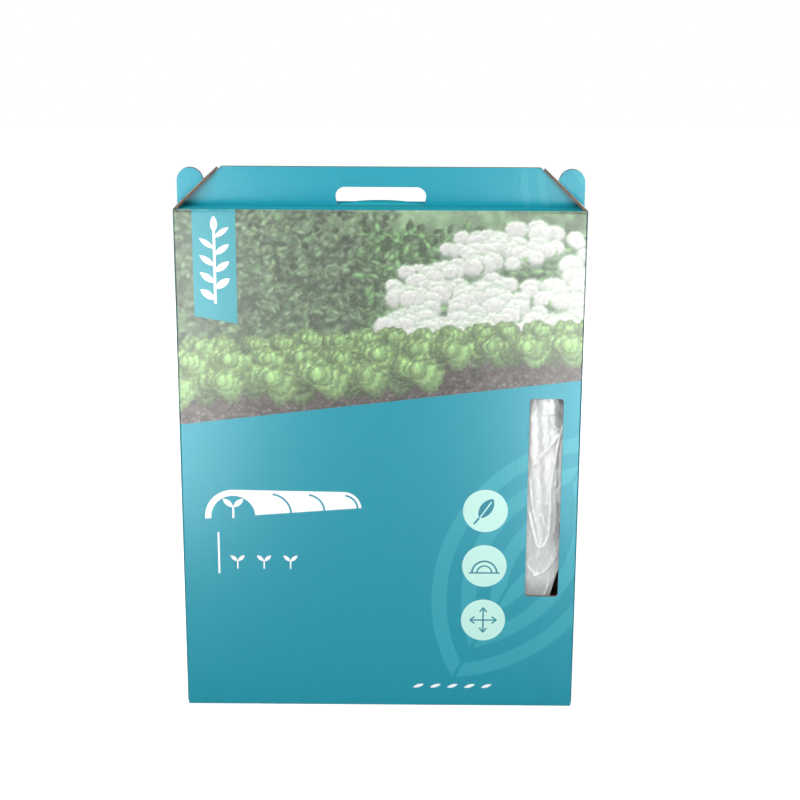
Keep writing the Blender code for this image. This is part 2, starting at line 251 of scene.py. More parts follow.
class Shader:
    """A material under construction, round its Principled shader."""

    def __init__(self, name: str) -> None:
        """Start a material.

        Args:
            name: its name.
        """
        self.material = bpy.data.materials.new(name)
        self.material.use_nodes = True
        self.tree = self.material.node_tree
        self.surface = self.tree.nodes["Principled BSDF"]
        self.coordinates = self.tree.nodes.new("ShaderNodeTexCoord")
        self.split = self.tree.nodes.new("ShaderNodeSeparateXYZ")
        self.tree.links.new(self.coordinates.outputs["Object"], self.split.inputs[0])
        self.normal = self.tree.nodes.new("ShaderNodeSeparateXYZ")
        self.tree.links.new(self.coordinates.outputs["Normal"], self.normal.inputs[0])

    def axis(self, index: int, scale: float = 1.0) -> Field:
        """A coordinate on the piece, times a scale."""
        return Field(self.tree, self.split.outputs[index]) * scale

    def facing(self, index: int) -> Field:
        """How far the surface faces along an axis of the piece."""
        return Field(self.tree, self.normal.outputs[index])

    def constant(self, **sockets: float | Sequence[float]) -> None:
        """Set the shader's own sockets, spaces written as underscores."""
        for name, value in sockets.items():
            self.surface.inputs[name.replace("_", " ")].default_value = value

    def feed(self, name: str, source: "Field | bpy.types.NodeSocket") -> None:
        """Link something into one of the shader's sockets."""
        socket = source.socket if isinstance(source, Field) else source
        self.tree.links.new(socket, self.surface.inputs[name])

    def noise(
        self, scale: float, detail: float = 3.0, stretch: Sequence[float] = (1, 1, 1), source: str = "Object"
    ) -> Field:
        """Noise from 0 to 1 over the piece.

        Args:
            scale: waves a metre.
            detail: octaves.
            stretch: how much faster it runs along each axis.
            source: the coordinates that it reads.

        Returns:
            The noise.
        """
        mapping = self.tree.nodes.new("ShaderNodeMapping")
        mapping.inputs["Scale"].default_value = stretch
        self.tree.links.new(self.coordinates.outputs[source], mapping.inputs["Vector"])
        node = self.tree.nodes.new("ShaderNodeTexNoise")
        node.inputs["Scale"].default_value = scale
        node.inputs["Detail"].default_value = detail
        self.tree.links.new(mapping.outputs[0], node.inputs["Vector"])
        return Field(self.tree, node.outputs["Fac"])

    def mix(
        self,
        share: Field,
        low: "Sequence[float] | bpy.types.NodeSocket",
        high: "Sequence[float] | bpy.types.NodeSocket",
    ) -> bpy.types.NodeSocket:
        """Mix two colours.

        Args:
            share: how much of the second.
            low, high: the colours, or sockets that give them.

        Returns:
            The socket with the mixed colour.
        """
        node = self.tree.nodes.new("ShaderNodeMix")
        node.data_type = "RGBA"
        self.tree.links.new(share.socket, node.inputs["Factor"])
        for socket, value in ((node.inputs[6], low), (node.inputs[7], high)):
            if isinstance(value, bpy.types.NodeSocket):
                self.tree.links.new(value, socket)
            else:
                socket.default_value = value
        return node.outputs[2]

    def bump(self, height: Field, distance: float) -> None:
        """Raise the surface by a height from 0 to 1, times a distance."""
        node = self.tree.nodes.new("ShaderNodeBump")
        node.inputs["Distance"].default_value = distance
        self.tree.links.new(height.socket, node.inputs["Height"])
        self.feed("Normal", node.outputs[0])


# Outlines drawn by distance, in millimetres


@dataclass(frozen=True)
class Drawing:
    """Distances to simple outlines, negative inside, on a face's two coordinates."""

    across: Field
    up: Field

    def disc(self, x: float, z: float, radius: float) -> Field:
        """A disc."""
        return (self.across - x).root_of_squares(self.up - z) - radius

    def bar(self, x: float, z: float, half: Point) -> Field:
        """A bar with its half width and half height."""
        return ((self.across - x).size() - half[0]).most((self.up - z).size() - half[1])

    def stroke(self, start: Point, end: Point, half: float) -> Field:
        """A straight stroke with round ends."""
        run = (end[0] - start[0], end[1] - start[1])
        length = run[0] ** 2 + run[1] ** 2
        x, z = self.across - start[0], self.up - start[1]
        share = (x * (run[0] / length) + z * (run[1] / length)).clamped()
        return (x - share * run[0]).root_of_squares(z - share * run[1]) - half

    def hoop(self, x: float, z: float, radius: float, half: float) -> Field:
        """A half ring that stands on its ends."""
        ring = self.disc(x, z, radius).size() - half
        return ring.most(-(self.up - z))

    def leaf(self, x: float, z: float, length: float, width: float, turn: float) -> Field:
        """A pointed leaf about its middle, half its length and width, turned from upright."""
        c, s = math.cos(turn), math.sin(turn)
        dx, dz = self.across - x, self.up - z
        along, aside = dx * s + dz * c, dx * c - dz * s
        radius = (length**2 + width**2) / (2 * width)
        offset = radius - width
        left = (aside + offset).root_of_squares(along)
        return left.most((aside - offset).root_of_squares(along)) - radius


# Finishes


class Face(Enum):
    """The printed faces, each with its own copy of the one teal ink, made lighter or darker for the light
    that falls on it: painted light and shade.
    """

    FRONT = "front"
    HANDLE = "handle"
    SHELF = "shelf"
    WALL = "wall"


@dataclass(frozen=True)
class Inks:
    """The colours of the print."""

    # The front's teal is the one ink; handle, shelf and wall are copies of it made lighter or darker for how
    # light falls on each face: painted light and shade.
    teal: Colour = linear(12, 141, 160)
    handle: Colour = linear(22, 152, 172)
    shelf: Colour = linear(42, 160, 175)
    wall: Colour = linear(12, 118, 138)
    motif: Colour = linear(56, 166, 182)
    ribbon: Colour = linear(52, 151, 164)
    mint: Colour = linear(197, 240, 230)
    white: Colour = linear(252, 254, 254)
    icon: Colour = linear(18, 126, 144)
    # Pale colour of cracked print along the creases, also standing in for the creases' highlight: wear and
    # painted highlight.
    worn_and_highlight: Colour = linear(188, 222, 222)
    # Dark teal for painted shade: the shadows beside the lock flaps and the line along the front's upright
    # edges.
    painted_shade_ink: Colour = linear(10, 70, 82)
    light_spot: Colour = (1.0, 1.0, 1.0, 1.0)
    dark_spot: Colour = (0.05, 0.06, 0.05, 1.0)

    def ground(self, face: Face) -> Colour:
        """The ink that a face is printed with."""
        return {
            Face.FRONT: self.teal, Face.HANDLE: self.handle, Face.SHELF: self.shelf, Face.WALL: self.wall
        }[face]


@dataclass(frozen=True)
class PrintedPaper:
    """Teal print under a soft gloss varnish, over board whose flutes just show."""

    inks: Inks = Inks()
    roughness: float = 0.55
    gloss: float = 0.3
    gloss_roughness: float = 0.29
    flute_pitch: float = 0.0065
    crease_soft: float = 0.5
    ink_soft: float = 0.2
    disc_places: tuple[Point, ...] = ((126.7, 256.2), (126.7, 185.7), (126.3, 115.1))
    disc_radius: float = 26.9
    ribbon_middle: float = -191.0
    ribbon_half: float = 25.0
    ribbon_foot: float = 455.1
    ribbon_slope: float = 0.18

    def material(self, face: Face) -> bpy.types.Material:
        """Make the material of one printed face.

        Args:
            face: which face.

        Returns:
            The material.
        """
        shader = Shader(f"print_{face.value}")
        glossy = face in (Face.FRONT, Face.HANDLE)
        shader.constant(
            Roughness=self.roughness, Specular_IOR_Level=0.06 if glossy else 0.0,
            Coat_Weight=self.gloss if glossy else 0.0, Coat_Roughness=self.gloss_roughness,
        )
        ground = self.inks.ground(face)
        patchy = shader.noise(38, 2) * 0.22 + shader.noise(900, 2) * 0.10
        lighter = tuple(min(1.0, part * 1.14 + 0.004) for part in ground[:3]) + (1.0,)
        colour = shader.mix(patchy, ground, lighter)
        drawing = Drawing(shader.axis(0, 1 / MM), shader.axis(2, 1 / MM))
        if face is Face.FRONT:
            colour = self.draw_front(shader, drawing, colour)
        if face is Face.HANDLE:
            colour = self.draw_handle(shader, drawing, colour)
        else:
            # Cracked, pale print along the creases and at the foot, partly a painted highlight on the
            # creases.
            colour = shader.mix(self.crease_wear_and_highlight(shader, drawing), colour, self.inks.worn_and_highlight)
        shader.feed("Base Color", colour)
        streaks = shader.noise(420, 2, (1, 1, 0.012)) * 0.8
        ribs = (shader.axis(0, TAU / self.flute_pitch)).sine() * 0.30
        shader.bump(ribs + streaks + shader.noise(1500, 2) * 0.3 + shader.noise(24, 2) * 0.8, 0.00013)
        return shader.material

    def crease_wear_and_highlight(self, shader: Shader, drawing: Drawing) -> Field:
        """How far the print is cracked along the creases and rubbed at the foot; the pale crease line is also
        a painted highlight.
        """
        away = -(shader.axis(1, 1 / MM).size() - 31.5)
        level = (-(drawing.up - 617.6)).least(drawing.up - 1.6)
        line = level.most(away).within(self.crease_soft)
        broken = ((shader.noise(130, 4) - 0.30) * 2.4).clamped()
        return line * broken * 0.38

    def draw_handle(
        self, shader: Shader, drawing: Drawing, colour: bpy.types.NodeSocket
    ) -> bpy.types.NodeSocket:
        """Add two faint leaf outlines near the right end, and the painted shadows beside the lock flaps."""
        leaf = drawing.leaf(208, 622, 80, 36, -0.42)
        bands = ((leaf.size() - 4.0).within(0.5)).most(((leaf + 20).size() - 4.0).within(0.5))
        inner = (drawing.across - 150).within(-0.5)
        colour = shader.mix(bands * inner * 0.5, colour, self.inks.motif)
        # Painted shadow on the handle beside each lock flap.
        return shader.mix(self.flap_painted_shadow(drawing) * 0.5, colour, self.inks.painted_shade_ink)

    def flap_painted_shadow(self, drawing: Drawing) -> Field:
        """A painted shadow beside each lock flap's inner face, wider towards the crease and fading inwards.
        """
        top, widening, fade, tucked = CarryTop(), 0.075, 0.25, 0.6
        s, c = math.sin(top.flap_tilt), math.cos(top.flap_tilt)
        start = (CARTON.hinge_x * s + CARTON.hinge_z * c - CARTON.hinge_offset - CARTON.board) / MM
        inside = -(drawing.across.size() * s + drawing.up * c - start)
        below_top = (CARTON.height + top.handle_height) / MM - drawing.up
        fading = (1.0 - (inside - below_top * widening) * fade).clamped()
        return fading * (-(inside + tucked)).within(0.3)

    def draw_front(
        self, shader: Shader, drawing: Drawing, colour: bpy.types.NodeSocket
    ) -> bpy.types.NodeSocket:
        """Add the motif, the discs, the white shapes, the picture, the ribbon and painted shade along the
        upright edges.
        """
        colour = shader.mix(self.leaf_motif(drawing) * 0.62, colour, self.inks.motif)
        for place, draw in zip(self.disc_places, (self.leaf_icon, self.hoop_icon, self.size_icon)):
            disc = drawing.disc(*place, self.disc_radius).within(self.ink_soft)
            colour = shader.mix(disc, colour, self.inks.mint)
            colour = shader.mix(draw(drawing, *place).within(0.18), colour, self.inks.icon)
        colour = shader.mix(self.white_shapes(drawing).within(0.18), colour, self.inks.white)
        above = (drawing.up - drawing.across * GardenPicture.SLOPE) - GardenPicture.MIDDLE
        colour = shader.mix((-above).within(0.25), colour, self.picture(shader))
        foot = (drawing.up + drawing.across * self.ribbon_slope) - self.ribbon_foot
        ribbon = ((drawing.across - self.ribbon_middle).size() - self.ribbon_half).most(-foot)
        colour = shader.mix(ribbon.within(self.ink_soft), colour, self.inks.ribbon)
        colour = shader.mix(self.ribbon_plant(drawing).within(self.ink_soft), colour, self.inks.white)
        # Painted shade: a dark line along both upright edges, where the print turns round the creases.
        upright = (-(drawing.across.size() - 236.4)).within(0.4)
        return shader.mix(upright * 0.5, colour, self.inks.painted_shade_ink)

    def leaf_motif(self, drawing: Drawing) -> Field:
        """The large leaf with ripples along its outline and an open midrib."""
        leaf = drawing.leaf(176, 196, 190, 108, 0.50)
        ripples = ((leaf / 36.0).fraction() - 0.5).size() - 0.25
        midrib = drawing.stroke((86, 30), (268, 364), 2.2)
        return ripples.within(0.012) * leaf.within(0.6) * (-midrib).within(0.4)

    def white_shapes(self, drawing: Drawing) -> Field:
        """The pictogram, the rule under it, three sprouts and a row of small leaves at the foot."""
        white = self.tunnel_pictogram(drawing).least(drawing.bar(-194.5, 200.6, (1.15, 26.5)))
        for x in (-172, -140, -108):
            white = white.least(self.sprout(drawing, x, 190, 9.0))
        for step in range(5):
            white = white.least(drawing.leaf(48 + 21 * step, 27, 7.0, 2.1, 1.25))
        return white

    def picture(self, shader: Shader) -> bpy.types.NodeSocket:
        """The garden picture, with the grain of the print in it."""
        attribute = shader.tree.nodes.new("ShaderNodeAttribute")
        attribute.attribute_name = GardenPicture.ATTRIBUTE
        grain = (shader.noise(800, 3) - 0.5) * 0.30 + (shader.noise(260, 3) - 0.5) * 0.22
        lighter = shader.mix(grain.clamped(), attribute.outputs["Color"], self.inks.light_spot)
        return shader.mix((-grain).clamped(), lighter, self.inks.dark_spot)

    def sprout(self, drawing: Drawing, x: float, z: float, size: float) -> Field:
        """Two leaves on a short stalk."""
        shape = drawing.stroke((x, z - size), (x, z), size * 0.09)
        for side in (-1, 1):
            aside, above = side * size * 0.48, size * 0.42
            shape = shape.least(drawing.leaf(x + aside, z + above, size * 0.62, size * 0.25, side * 0.85))
        return shape

    def ribbon_plant(self, drawing: Drawing) -> Field:
        """A plain leafy stem that climbs the ribbon."""
        middle = self.ribbon_middle
        shape = drawing.stroke((middle, 510), (middle, 596), 1.5)
        for step in range(4):
            for side in (-1, 1):
                x, z = middle + side * 8.6, 526 + 20 * step + 6.5 * side
                shape = shape.least(drawing.leaf(x, z, 10.5, 4.3 - 0.4 * step, side * 0.95))
        return shape.least(drawing.leaf(middle, 602, 9.5, 4.0, 0.0))

    def tunnel_pictogram(self, drawing: Drawing) -> Field:
        """A covered tunnel seen from one end, in place of a title."""
        hoops = [(-176 + 44 * k, 247 + 3.4 * k, 34 - 4.0 * k) for k in range(4)]
        (x0, z0, r0), (x1, z1, r1) = hoops[0], hoops[-1]
        ground = -((drawing.up - z0) - (drawing.across - x0) * ((z1 - z0) / (x1 - x0)))
        roof = ((drawing.up - z0 - r0) - (drawing.across - x0) * ((z1 + r1 - z0 - r0) / (x1 - x0)))
        body = roof.most(-(drawing.across - x0)).most(drawing.across - x1)
        body = body.least(drawing.disc(x0, z0, r0)).least(drawing.disc(x1, z1, r1)).most(ground)
        for x, z, radius in hoops[1:]:
            rib = (drawing.disc(x, z, radius - 4.5).size() - 1.1).most(-(drawing.across - x - radius * 0.12))
            body = body.most(-rib)
        inside = drawing.disc(x0, z0, r0 - 7.5)
        return body.most(-inside).least(self.sprout(drawing, x0, z0 + 12, 13))

    def leaf_icon(self, drawing: Drawing, x: float, z: float) -> Field:
        """One leaf with its midrib left open, on a stalk."""
        blade = drawing.leaf(x + 1, z + 3, 15, 7.5, 0.6)
        rib = drawing.stroke((x - 9, z - 12), (x + 7, z + 11), 0.7)
        stalk = drawing.stroke((x - 13, z - 16), (x - 8, z - 9.5), 1.2)
        return blade.most(-rib).least(stalk)

    def hoop_icon(self, drawing: Drawing, x: float, z: float) -> Field:
        """Two nested hoops on the ground."""
        ground = drawing.stroke((x - 18, z - 9), (x + 18, z - 9), 0.9)
        outer = drawing.hoop(x, z - 9, 15, 1.1)
        return outer.least(drawing.hoop(x, z - 9, 9, 0.9)).least(ground)

    def size_icon(self, drawing: Drawing, x: float, z: float) -> Field:
        """Two crossed double arrows, for length and height."""
        shape = drawing.stroke((x - 16, z), (x + 16, z), 0.9)
        shape = shape.least(drawing.stroke((x, z - 16), (x, z + 16), 0.9))
        for side in (-1, 1):
            for lean in (-1, 1):
                tip, barb = (x + side * 16, z), (x + side * 11, z + lean * 4)
                shape = shape.least(drawing.stroke(tip, barb, 0.9))
                tip, barb = (x, z + side * 16), (x + lean * 4, z + side * 11)
                shape = shape.least(drawing.stroke(tip, barb, 0.9))
        return shape


@dataclass(frozen=True)
class KraftBoard:
    """Unprinted brown board. Its cut edges show two liners and the wave between them, with painted shade for
    the flutes' hollows.
    """

    liner: Colour = linear(174, 150, 130)
    fibre: Colour = linear(136, 110, 92)
    # Painted shade: the dark between the liners and the wave on a cut edge, where the flutes' hollows are.
    hollow: Colour = linear(62, 48, 40)
    liner_share: float = 0.13
    wave_share: float = 0.10

    def fibres(self, shader: Shader) -> Field:
        """The paper's fibres, which run upwards."""
        return shader.noise(260, 5, (1, 1, 0.16)) * 0.75 + shader.noise(1900, 2) * 0.35

    def plain(self, name: str) -> bpy.types.Material:
        """The paper itself, for liners and flutes that are modelled."""
        shader = Shader(name)
        shader.constant(Roughness=0.88, Specular_IOR_Level=0.2)
        fibres = self.fibres(shader)
        shader.feed("Base Color", shader.mix(fibres, self.fibre, self.liner))
        shader.bump(fibres, 0.00012)
        return shader.material

    def panel(
        self, name: str, depth: int, outside: float, inwards: int, run: int, ink: Colour
    ) -> bpy.types.Material:
        """A whole board: printed outside, brown inside, with its layers on the cut edges.

        Args:
            name: the material's name.
            depth: axis through the board.
            outside: where the printed face is on that axis.
            inwards: 1 or -1, the way from the printed face into the board.
            run: axis along which the flutes follow each other.
            ink: the outside's colour.

        Returns:
            The material.
        """
        shader = Shader(name)
        shader.constant(Roughness=0.8, Specular_IOR_Level=0.25)
        fibres = self.fibres(shader)
        paper = shader.mix(fibres, self.fibre, self.liner)
        into = (shader.axis(depth) - outside) * (inwards / CARTON.board)
        wave = (shader.axis(run, TAU / PrintedPaper.flute_pitch)).sine() * 0.34 + 0.5
        line = ((into - wave).size() - self.wave_share).within(0.05)
        liners = (0.5 - self.liner_share - (into - 0.5).size()).within(0.03)
        # Cut edge: liners and wave in paper, the rest painted shade for the flutes' hollows.
        edge = shader.mix(line.most(liners), self.hollow, paper)
        flat = shader.facing(depth)
        is_edge = (flat.size() - 0.5).within(0.05)
        colour = shader.mix(is_edge, paper, edge)
        is_outside = ((flat * float(inwards)) + 0.5).within(0.05)
        shader.feed("Base Color", shader.mix(is_outside, colour, ink))
        shader.bump(fibres, 0.0001)
        return shader.material


@dataclass(frozen=True)
class ZincWire:
    """Dull galvanised wire with a faint spangle and drawing lines."""

    bright: Colour = linear(206, 209, 211)
    dull: Colour = linear(150, 154, 158)

    def material(self) -> bpy.types.Material:
        """Make the wire's material."""
        shader = Shader("galvanised_wire")
        shader.constant(Metallic=1.0)
        spangle = shader.noise(420, 4)
        shader.feed("Base Color", shader.mix(spangle, self.dull, self.bright))
        shader.feed("Roughness", spangle * 0.25 + 0.28)
        shader.bump(shader.noise(2600, 2, (1, 1, 0.08)), 0.00003)
        return shader.material


@dataclass(frozen=True)
class ClearFilm:
    """Thin clear polythene that turns milky where it lies in many layers."""

    tint: Colour = linear(230, 234, 230)
    shade: Colour = linear(200, 208, 211)
    blush: Colour = linear(234, 208, 208)
    white: Colour = linear(250, 253, 253)
    # Painted shade for the film's dark hollows.
    hollow: Colour = linear(96, 94, 92)
    opaque_share: float = 0.68

    def material(self) -> bpy.types.Material:
        """Make the film's material. It follows the sheet by its UV map, and the sheet's crease attribute
        whitens the folds above 0, partly as a painted highlight, and paints shade into the hollows below 0."""
        shader = Shader("polythene_film")
        shader.constant(
            Roughness=0.30, Specular_IOR_Level=0.16, Coat_Weight=0.08, Coat_Roughness=0.08, IOR=1.5
        )
        haze = shader.noise(16, 3, (1, 0.35, 1), "UV")
        rainbow = ((shader.noise(22, 2, (1.0, 0.5, 1), "UV") - 0.52) * 3.0).clamped()
        fine = ((shader.noise(95, 3, (1, 0.4, 1), "UV") - 0.5).size() * -14.0 + 1.0).most(0.0)
        attribute = shader.tree.nodes.new("ShaderNodeAttribute")
        attribute.attribute_name = GatheredFilm.CREASE
        crease = Field(shader.tree, attribute.outputs["Fac"])
        colour = shader.mix(haze, self.shade, self.tint)
        colour = shader.mix(rainbow * 0.5, colour, self.blush)
        # Painted shade in the hollows, then whitened creases that are partly a painted highlight.
        colour = shader.mix((-crease).clamped(), colour, self.hollow)
        shader.feed("Base Color", shader.mix(crease.clamped(), colour, self.white))
        cover = haze * 0.25 + fine * 0.10 + crease * 0.30 + self.opaque_share
        shader.feed("Alpha", cover.clamped())
        shader.bump(fine * 0.35 + haze * 0.5, 0.0005)
        return shader.material


# The printed picture


@dataclass(frozen=True)
class Leaves:
    """One layer of leaves in the picture, in millimetres."""

    count: int
    across: Point
    up: Point
    length: Point
    width: Point
    colour: tuple[float, float, float]
    light: Point
    rib: float = 0.15
    spread: float = 2.5


class GardenPicture:
    """A garden picture of its own design: hedge, blossoms, leafy rows and soil, painted back
    to front on a grid in millimetres from a fixed seed."""

    ATTRIBUTE = "picture"
    SLOPE = 0.1202
    MIDDLE = 390.6
    SEED = 7
    CELL = 0.6
    LEFT, RIGHT, LOW, HIGH = -237.5, 237.5, 356.0, 619.0
    CREST_SLOPE = 0.055  # how fast the rows and the soil's far edge rise to the right
    HAZE = 0.15  # how far the print's dark tones are lifted

    def __init__(self) -> None:
        """Lay out an empty grid."""
        self.x = np.arange(self.LEFT, self.RIGHT + self.CELL, self.CELL)
        self.z = np.arange(self.LOW, self.HIGH + self.CELL, self.CELL)
        self.rgb = np.zeros((len(self.z), len(self.x), 3))
        self.rng = np.random.default_rng(self.SEED)

    def lay(self, x: float, z: float, reach: float, paint: Callable) -> None:
        """Paint over the grid round a point.

        Args:
            x, z: the point.
            reach: how far the paint goes.
            paint: gives the colour and its cover from the distances across and up.
        """
        i = np.searchsorted(self.x, [x - reach, x + reach])
        j = np.searchsorted(self.z, [z - reach, z + reach])
        if i[0] >= i[1] or j[0] >= j[1]:
            return
        place = (slice(j[0], j[1]), slice(i[0], i[1]))
        colour, cover = paint(*np.meshgrid(self.x[place[1]] - x, self.z[place[0]] - z))
        self.rgb[place] += (colour - self.rgb[place]) * cover[..., None]

    def leaf(
        self, x: float, z: float, length: float, width: float, turn: float,
        colour: np.ndarray, rib: float, ruffle: float = 0.0,
    ) -> None:
        """Paint a pointed leaf.

        Args:
            x, z: where its stalk is.
            length, width: its size.
            turn: its turn from upright.
            colour: its colour in the middle.
            rib: how light its midrib is.
            ruffle: how wavy its edge is.
        """
        c, s = math.cos(turn), math.sin(turn)
        phase = self.rng.uniform(0, TAU)

        def paint(gx: np.ndarray, gz: np.ndarray) -> tuple[np.ndarray, np.ndarray]:
            along, across = (gx * s + gz * c) / length, gx * c - gz * s
            t = np.clip(along, 0, 1)
            half = width / 2 * np.sin(math.pi * t**0.75) ** 0.8
            half = half * (1 + ruffle * np.sin(t * 30 + phase + 2.5 * np.sign(across)))
            edge = half - np.abs(across)
            cover = np.clip(edge / 0.8 + 0.5, 0, 1) * ((along > 0) & (along < 1))
            shaded_edge = np.clip(edge / (0.16 * width + 0.4), 0.68, 1)
            light = (0.66 + 0.48 * t + 0.15 * across / (half + 0.3)) * shaded_edge
            vein = np.exp(-((np.abs(across) / (0.035 * width + 0.25)) ** 2)) * rib
            tone = np.clip(light, 0.1, 1.5)[..., None] * colour
            return tone + vein[..., None] * np.array([0.30, 0.32, 0.16]), cover

        self.lay(x, z, length * 1.1, paint)

    def dot(
        self, x: float, z: float, radius: float, colour: Sequence[float], soft: float, cover: float = 1.0
    ) -> None:
        """Paint a round spot that is darker below."""

        def paint(gx: np.ndarray, gz: np.ndarray) -> tuple[np.ndarray, np.ndarray]:
            light = 1 - 0.22 * np.clip(-gz / radius, -0.6, 1)
            inside = np.clip((radius - np.hypot(gx, gz)) / soft + 0.5, 0, 1)
            return light[..., None] * np.array(colour), cover * inside

        self.lay(x, z, radius + soft, paint)

    def scatter(self, layer: Leaves) -> None:
        """Paint one layer of leaves."""
        pick = self.rng.uniform
        for _ in range(layer.count):
            light = pick(*layer.light)
            self.leaf(
                pick(*layer.across), pick(*layer.up), pick(*layer.length), pick(*layer.width),
                pick(-layer.spread, layer.spread), np.array(layer.colour) * light, layer.rib,
            )

    def blur(self, radius: float) -> None:
        """Put what is painted so far out of focus."""
        half = int(2.5 * radius / self.CELL) + 1
        weights = np.exp(-0.5 * (np.arange(-half, half + 1) * self.CELL / radius) ** 2)
        weights /= weights.sum()
        for axis in (0, 1):
            room = [(half, half) if k == axis else (0, 0) for k in range(3)]
            wide, reach = np.pad(self.rgb, room, mode="edge"), np.arange(self.rgb.shape[axis])
            self.rgb = sum(w * np.take(wide, reach + k, axis) for k, w in enumerate(weights))

    def noise(self, size: float, octaves: int) -> np.ndarray:
        """Smooth noise from 0 to 1 with waves of this size."""
        total, weight = np.zeros(self.rgb.shape[:2]), 0.0
        for octave in range(octaves):
            step = size / 2**octave
            fx, fz = (self.x - self.LEFT) / step, (self.z - self.LOW) / step
            ix, iz = fx.astype(int), fz.astype(int)
            grid = self.rng.random((iz[-1] + 2, ix[-1] + 2))
            tx, tz = fx - ix, (fz - iz)[:, None]
            tx, tz = tx * tx * (3 - 2 * tx), tz * tz * (3 - 2 * tz)
            low = grid[np.ix_(iz, ix)] * (1 - tx) + grid[np.ix_(iz, ix + 1)] * tx
            high = grid[np.ix_(iz + 1, ix)] * (1 - tx) + grid[np.ix_(iz + 1, ix + 1)] * tx
            total += (low * (1 - tz) + high * tz) / 2**octave
            weight += 1 / 2**octave
        return total / weight

    def hedge(self) -> None:
        """Paint the hedge, far leaves first, and the light over it."""
        self.rgb[:] = (0.16, 0.24, 0.16)
        far, near = (0.33, 0.46, 0.31), (0.41, 0.53, 0.38)
        self.scatter(Leaves(900, (self.LEFT, self.RIGHT), (455, 624), (12, 22), (6, 11), far, (0.5, 1.4)))
        self.blur(2.6)
        gx, gz = np.meshgrid(self.x, self.z)
        glow = np.exp(-(((gx - 60) / 150) ** 2 + ((gz - 612) / 26) ** 2))
        self.rgb += glow[..., None] * np.array([0.26, 0.30, 0.24])
        self.scatter(
            Leaves(1500, (self.LEFT, 20), (470, 624), (7, 14), (3.5, 7), near, (0.40, 1.32), spread=2.6)
        )
        self.blur(0.6)

    def ground(self) -> None:
        """Paint the soil."""
        gx, gz = np.meshgrid(self.x, self.z)
        crest = 447 + self.CREST_SLOPE * (gx - self.LEFT) + 8 * (self.noise(60, 3) - 0.5)
        tone = 0.07 + 0.30 * self.noise(9, 4) + 0.24 * (self.noise(2.2, 2) - 0.5)
        earth = tone[..., None] * np.array([0.93, 0.83, 0.77])
        self.rgb += (earth - self.rgb) * np.clip((crest - gz) / 6, 0, 1)[..., None]

    def blossoms(self) -> None:
        """Paint a bank of white blossom heads over its leaves."""
        pick = self.rng.uniform
        green, low, high = (0.40, 0.58, 0.36), 452, 600
        self.scatter(Leaves(900, (-20, 242), (440, 596), (9, 18), (5, 9), green, (0.45, 1.25), 0.2, 2.6))
        heads = []
        for _ in range(210):
            x, z = pick(5, 247), pick(low, high)
            if low + 10 * math.sin(x / 23) < z < high - 0.0022 * (x - 165) ** 2:
                heads.append((z, x, pick(9, 17) * (1.15 - 0.35 * (z - low) / (high - low))))
        for z, x, size in sorted(heads, reverse=True):
            self.blossom(x, z, size)
        self.blur(0.5)

    def blossom(self, x: float, z: float, size: float) -> None:
        """Paint one head: its shade, two leaves and its petals, set in a spiral."""
        pick = self.rng.uniform
        self.dot(x, z - size * 0.20, size * 1.04, (0.50, 0.60, 0.49), size * 0.5, 0.85)
        for _ in range(2):
            self.leaf(
                x + pick(-1, 1) * size, z - size * pick(0.5, 1.0), pick(9, 14), pick(5, 8), pick(-2.4, 2.4),
                np.array((0.46, 0.63, 0.42)) * pick(0.65, 1.2), 0.2,
            )
        count = int(size * 7)
        for k in range(count):
            r, a = size * math.sqrt(k / count) * 0.95, k * GOLDEN_ANGLE
            white = 0.80 + 0.15 * math.sin(a) * r / size + pick(-0.06, 0.06)
            place = (x + r * math.cos(a), z + 0.78 * r * math.sin(a))
            self.dot(*place, pick(1.1, 2.0), (white, white, white * 0.98), 0.8, 0.9)

    def rows(self) -> None:
        """Paint three rows of leafy plants, the far row first."""
        pick = self.rng.uniform
        plants = []
        for row, (base, scale) in enumerate(((446, 0.75), (424, 1.0), (398, 1.3))):
            step = 44 * scale
            for k in range(int(500 / step) + 1):
                x = self.LEFT - 10 + step * (k + 0.5 * (row % 2)) + pick(-4, 4)
                if row < 2 or x < 60:
                    height = base + self.CREST_SLOPE * (x - self.LEFT) + pick(-3, 3)
                    plants.append((height, x, scale * pick(0.9, 1.12)))
        for base, x, scale in sorted(plants, reverse=True):
            self.plant(x, base, scale)

    def plant(self, x: float, base: float, scale: float) -> None:
        """Paint one plant: its shadow and four rings of leaves, the outer ring first."""
        pick = self.rng.uniform
        self.dot(x, base - 3, 17 * scale, (0.20, 0.18, 0.16), 14 * scale, 0.7)
        rings = ((6, 31, 1.3), (6, 27, 0.95), (5, 21, 0.6), (4, 14, 0.3))
        for ring, (count, size, lean) in enumerate(rings):
            for k in range(count):
                turn = lean * (2 * (k + pick(0.1, 0.9)) / count - 1) * 1.2
                colour = np.array([0.52, 0.69, 0.41]) * (0.78 + 0.11 * ring + pick(-0.14, 0.14))
                self.leaf(
                    x + pick(-4, 4) * scale, base + ring * 2.4 * scale, size * scale, size * 0.98 * scale,
                    turn, colour, 0.26, 0.09,
                )

    def clods(self) -> None:
        """Paint clods of soil in front."""
        pick = self.rng.uniform
        for _ in range(1500):
            x, z = pick(self.LEFT, self.RIGHT), pick(self.LOW, 438)
            size, tone = pick(0.7, 2.2), pick(0.20, 0.46)
            if z > 388 + 0.105 * (x - self.LEFT):
                continue
            self.dot(x, z - 0.6, size, (0.12, 0.11, 0.10), 1.0, 0.5)
            self.dot(x, z, size, (tone, tone * 0.92, tone * 0.87), 0.7)

    def paint(self) -> None:
        """Paint the whole picture and lift its dark tones, as the print has them."""
        self.hedge()
        self.ground()
        self.clods()
        self.blossoms()
        self.rows()
        self.blur(0.4)
        self.rgb = np.clip(self.rgb, 0, 1) * (1.0 - self.HAZE) + self.HAZE

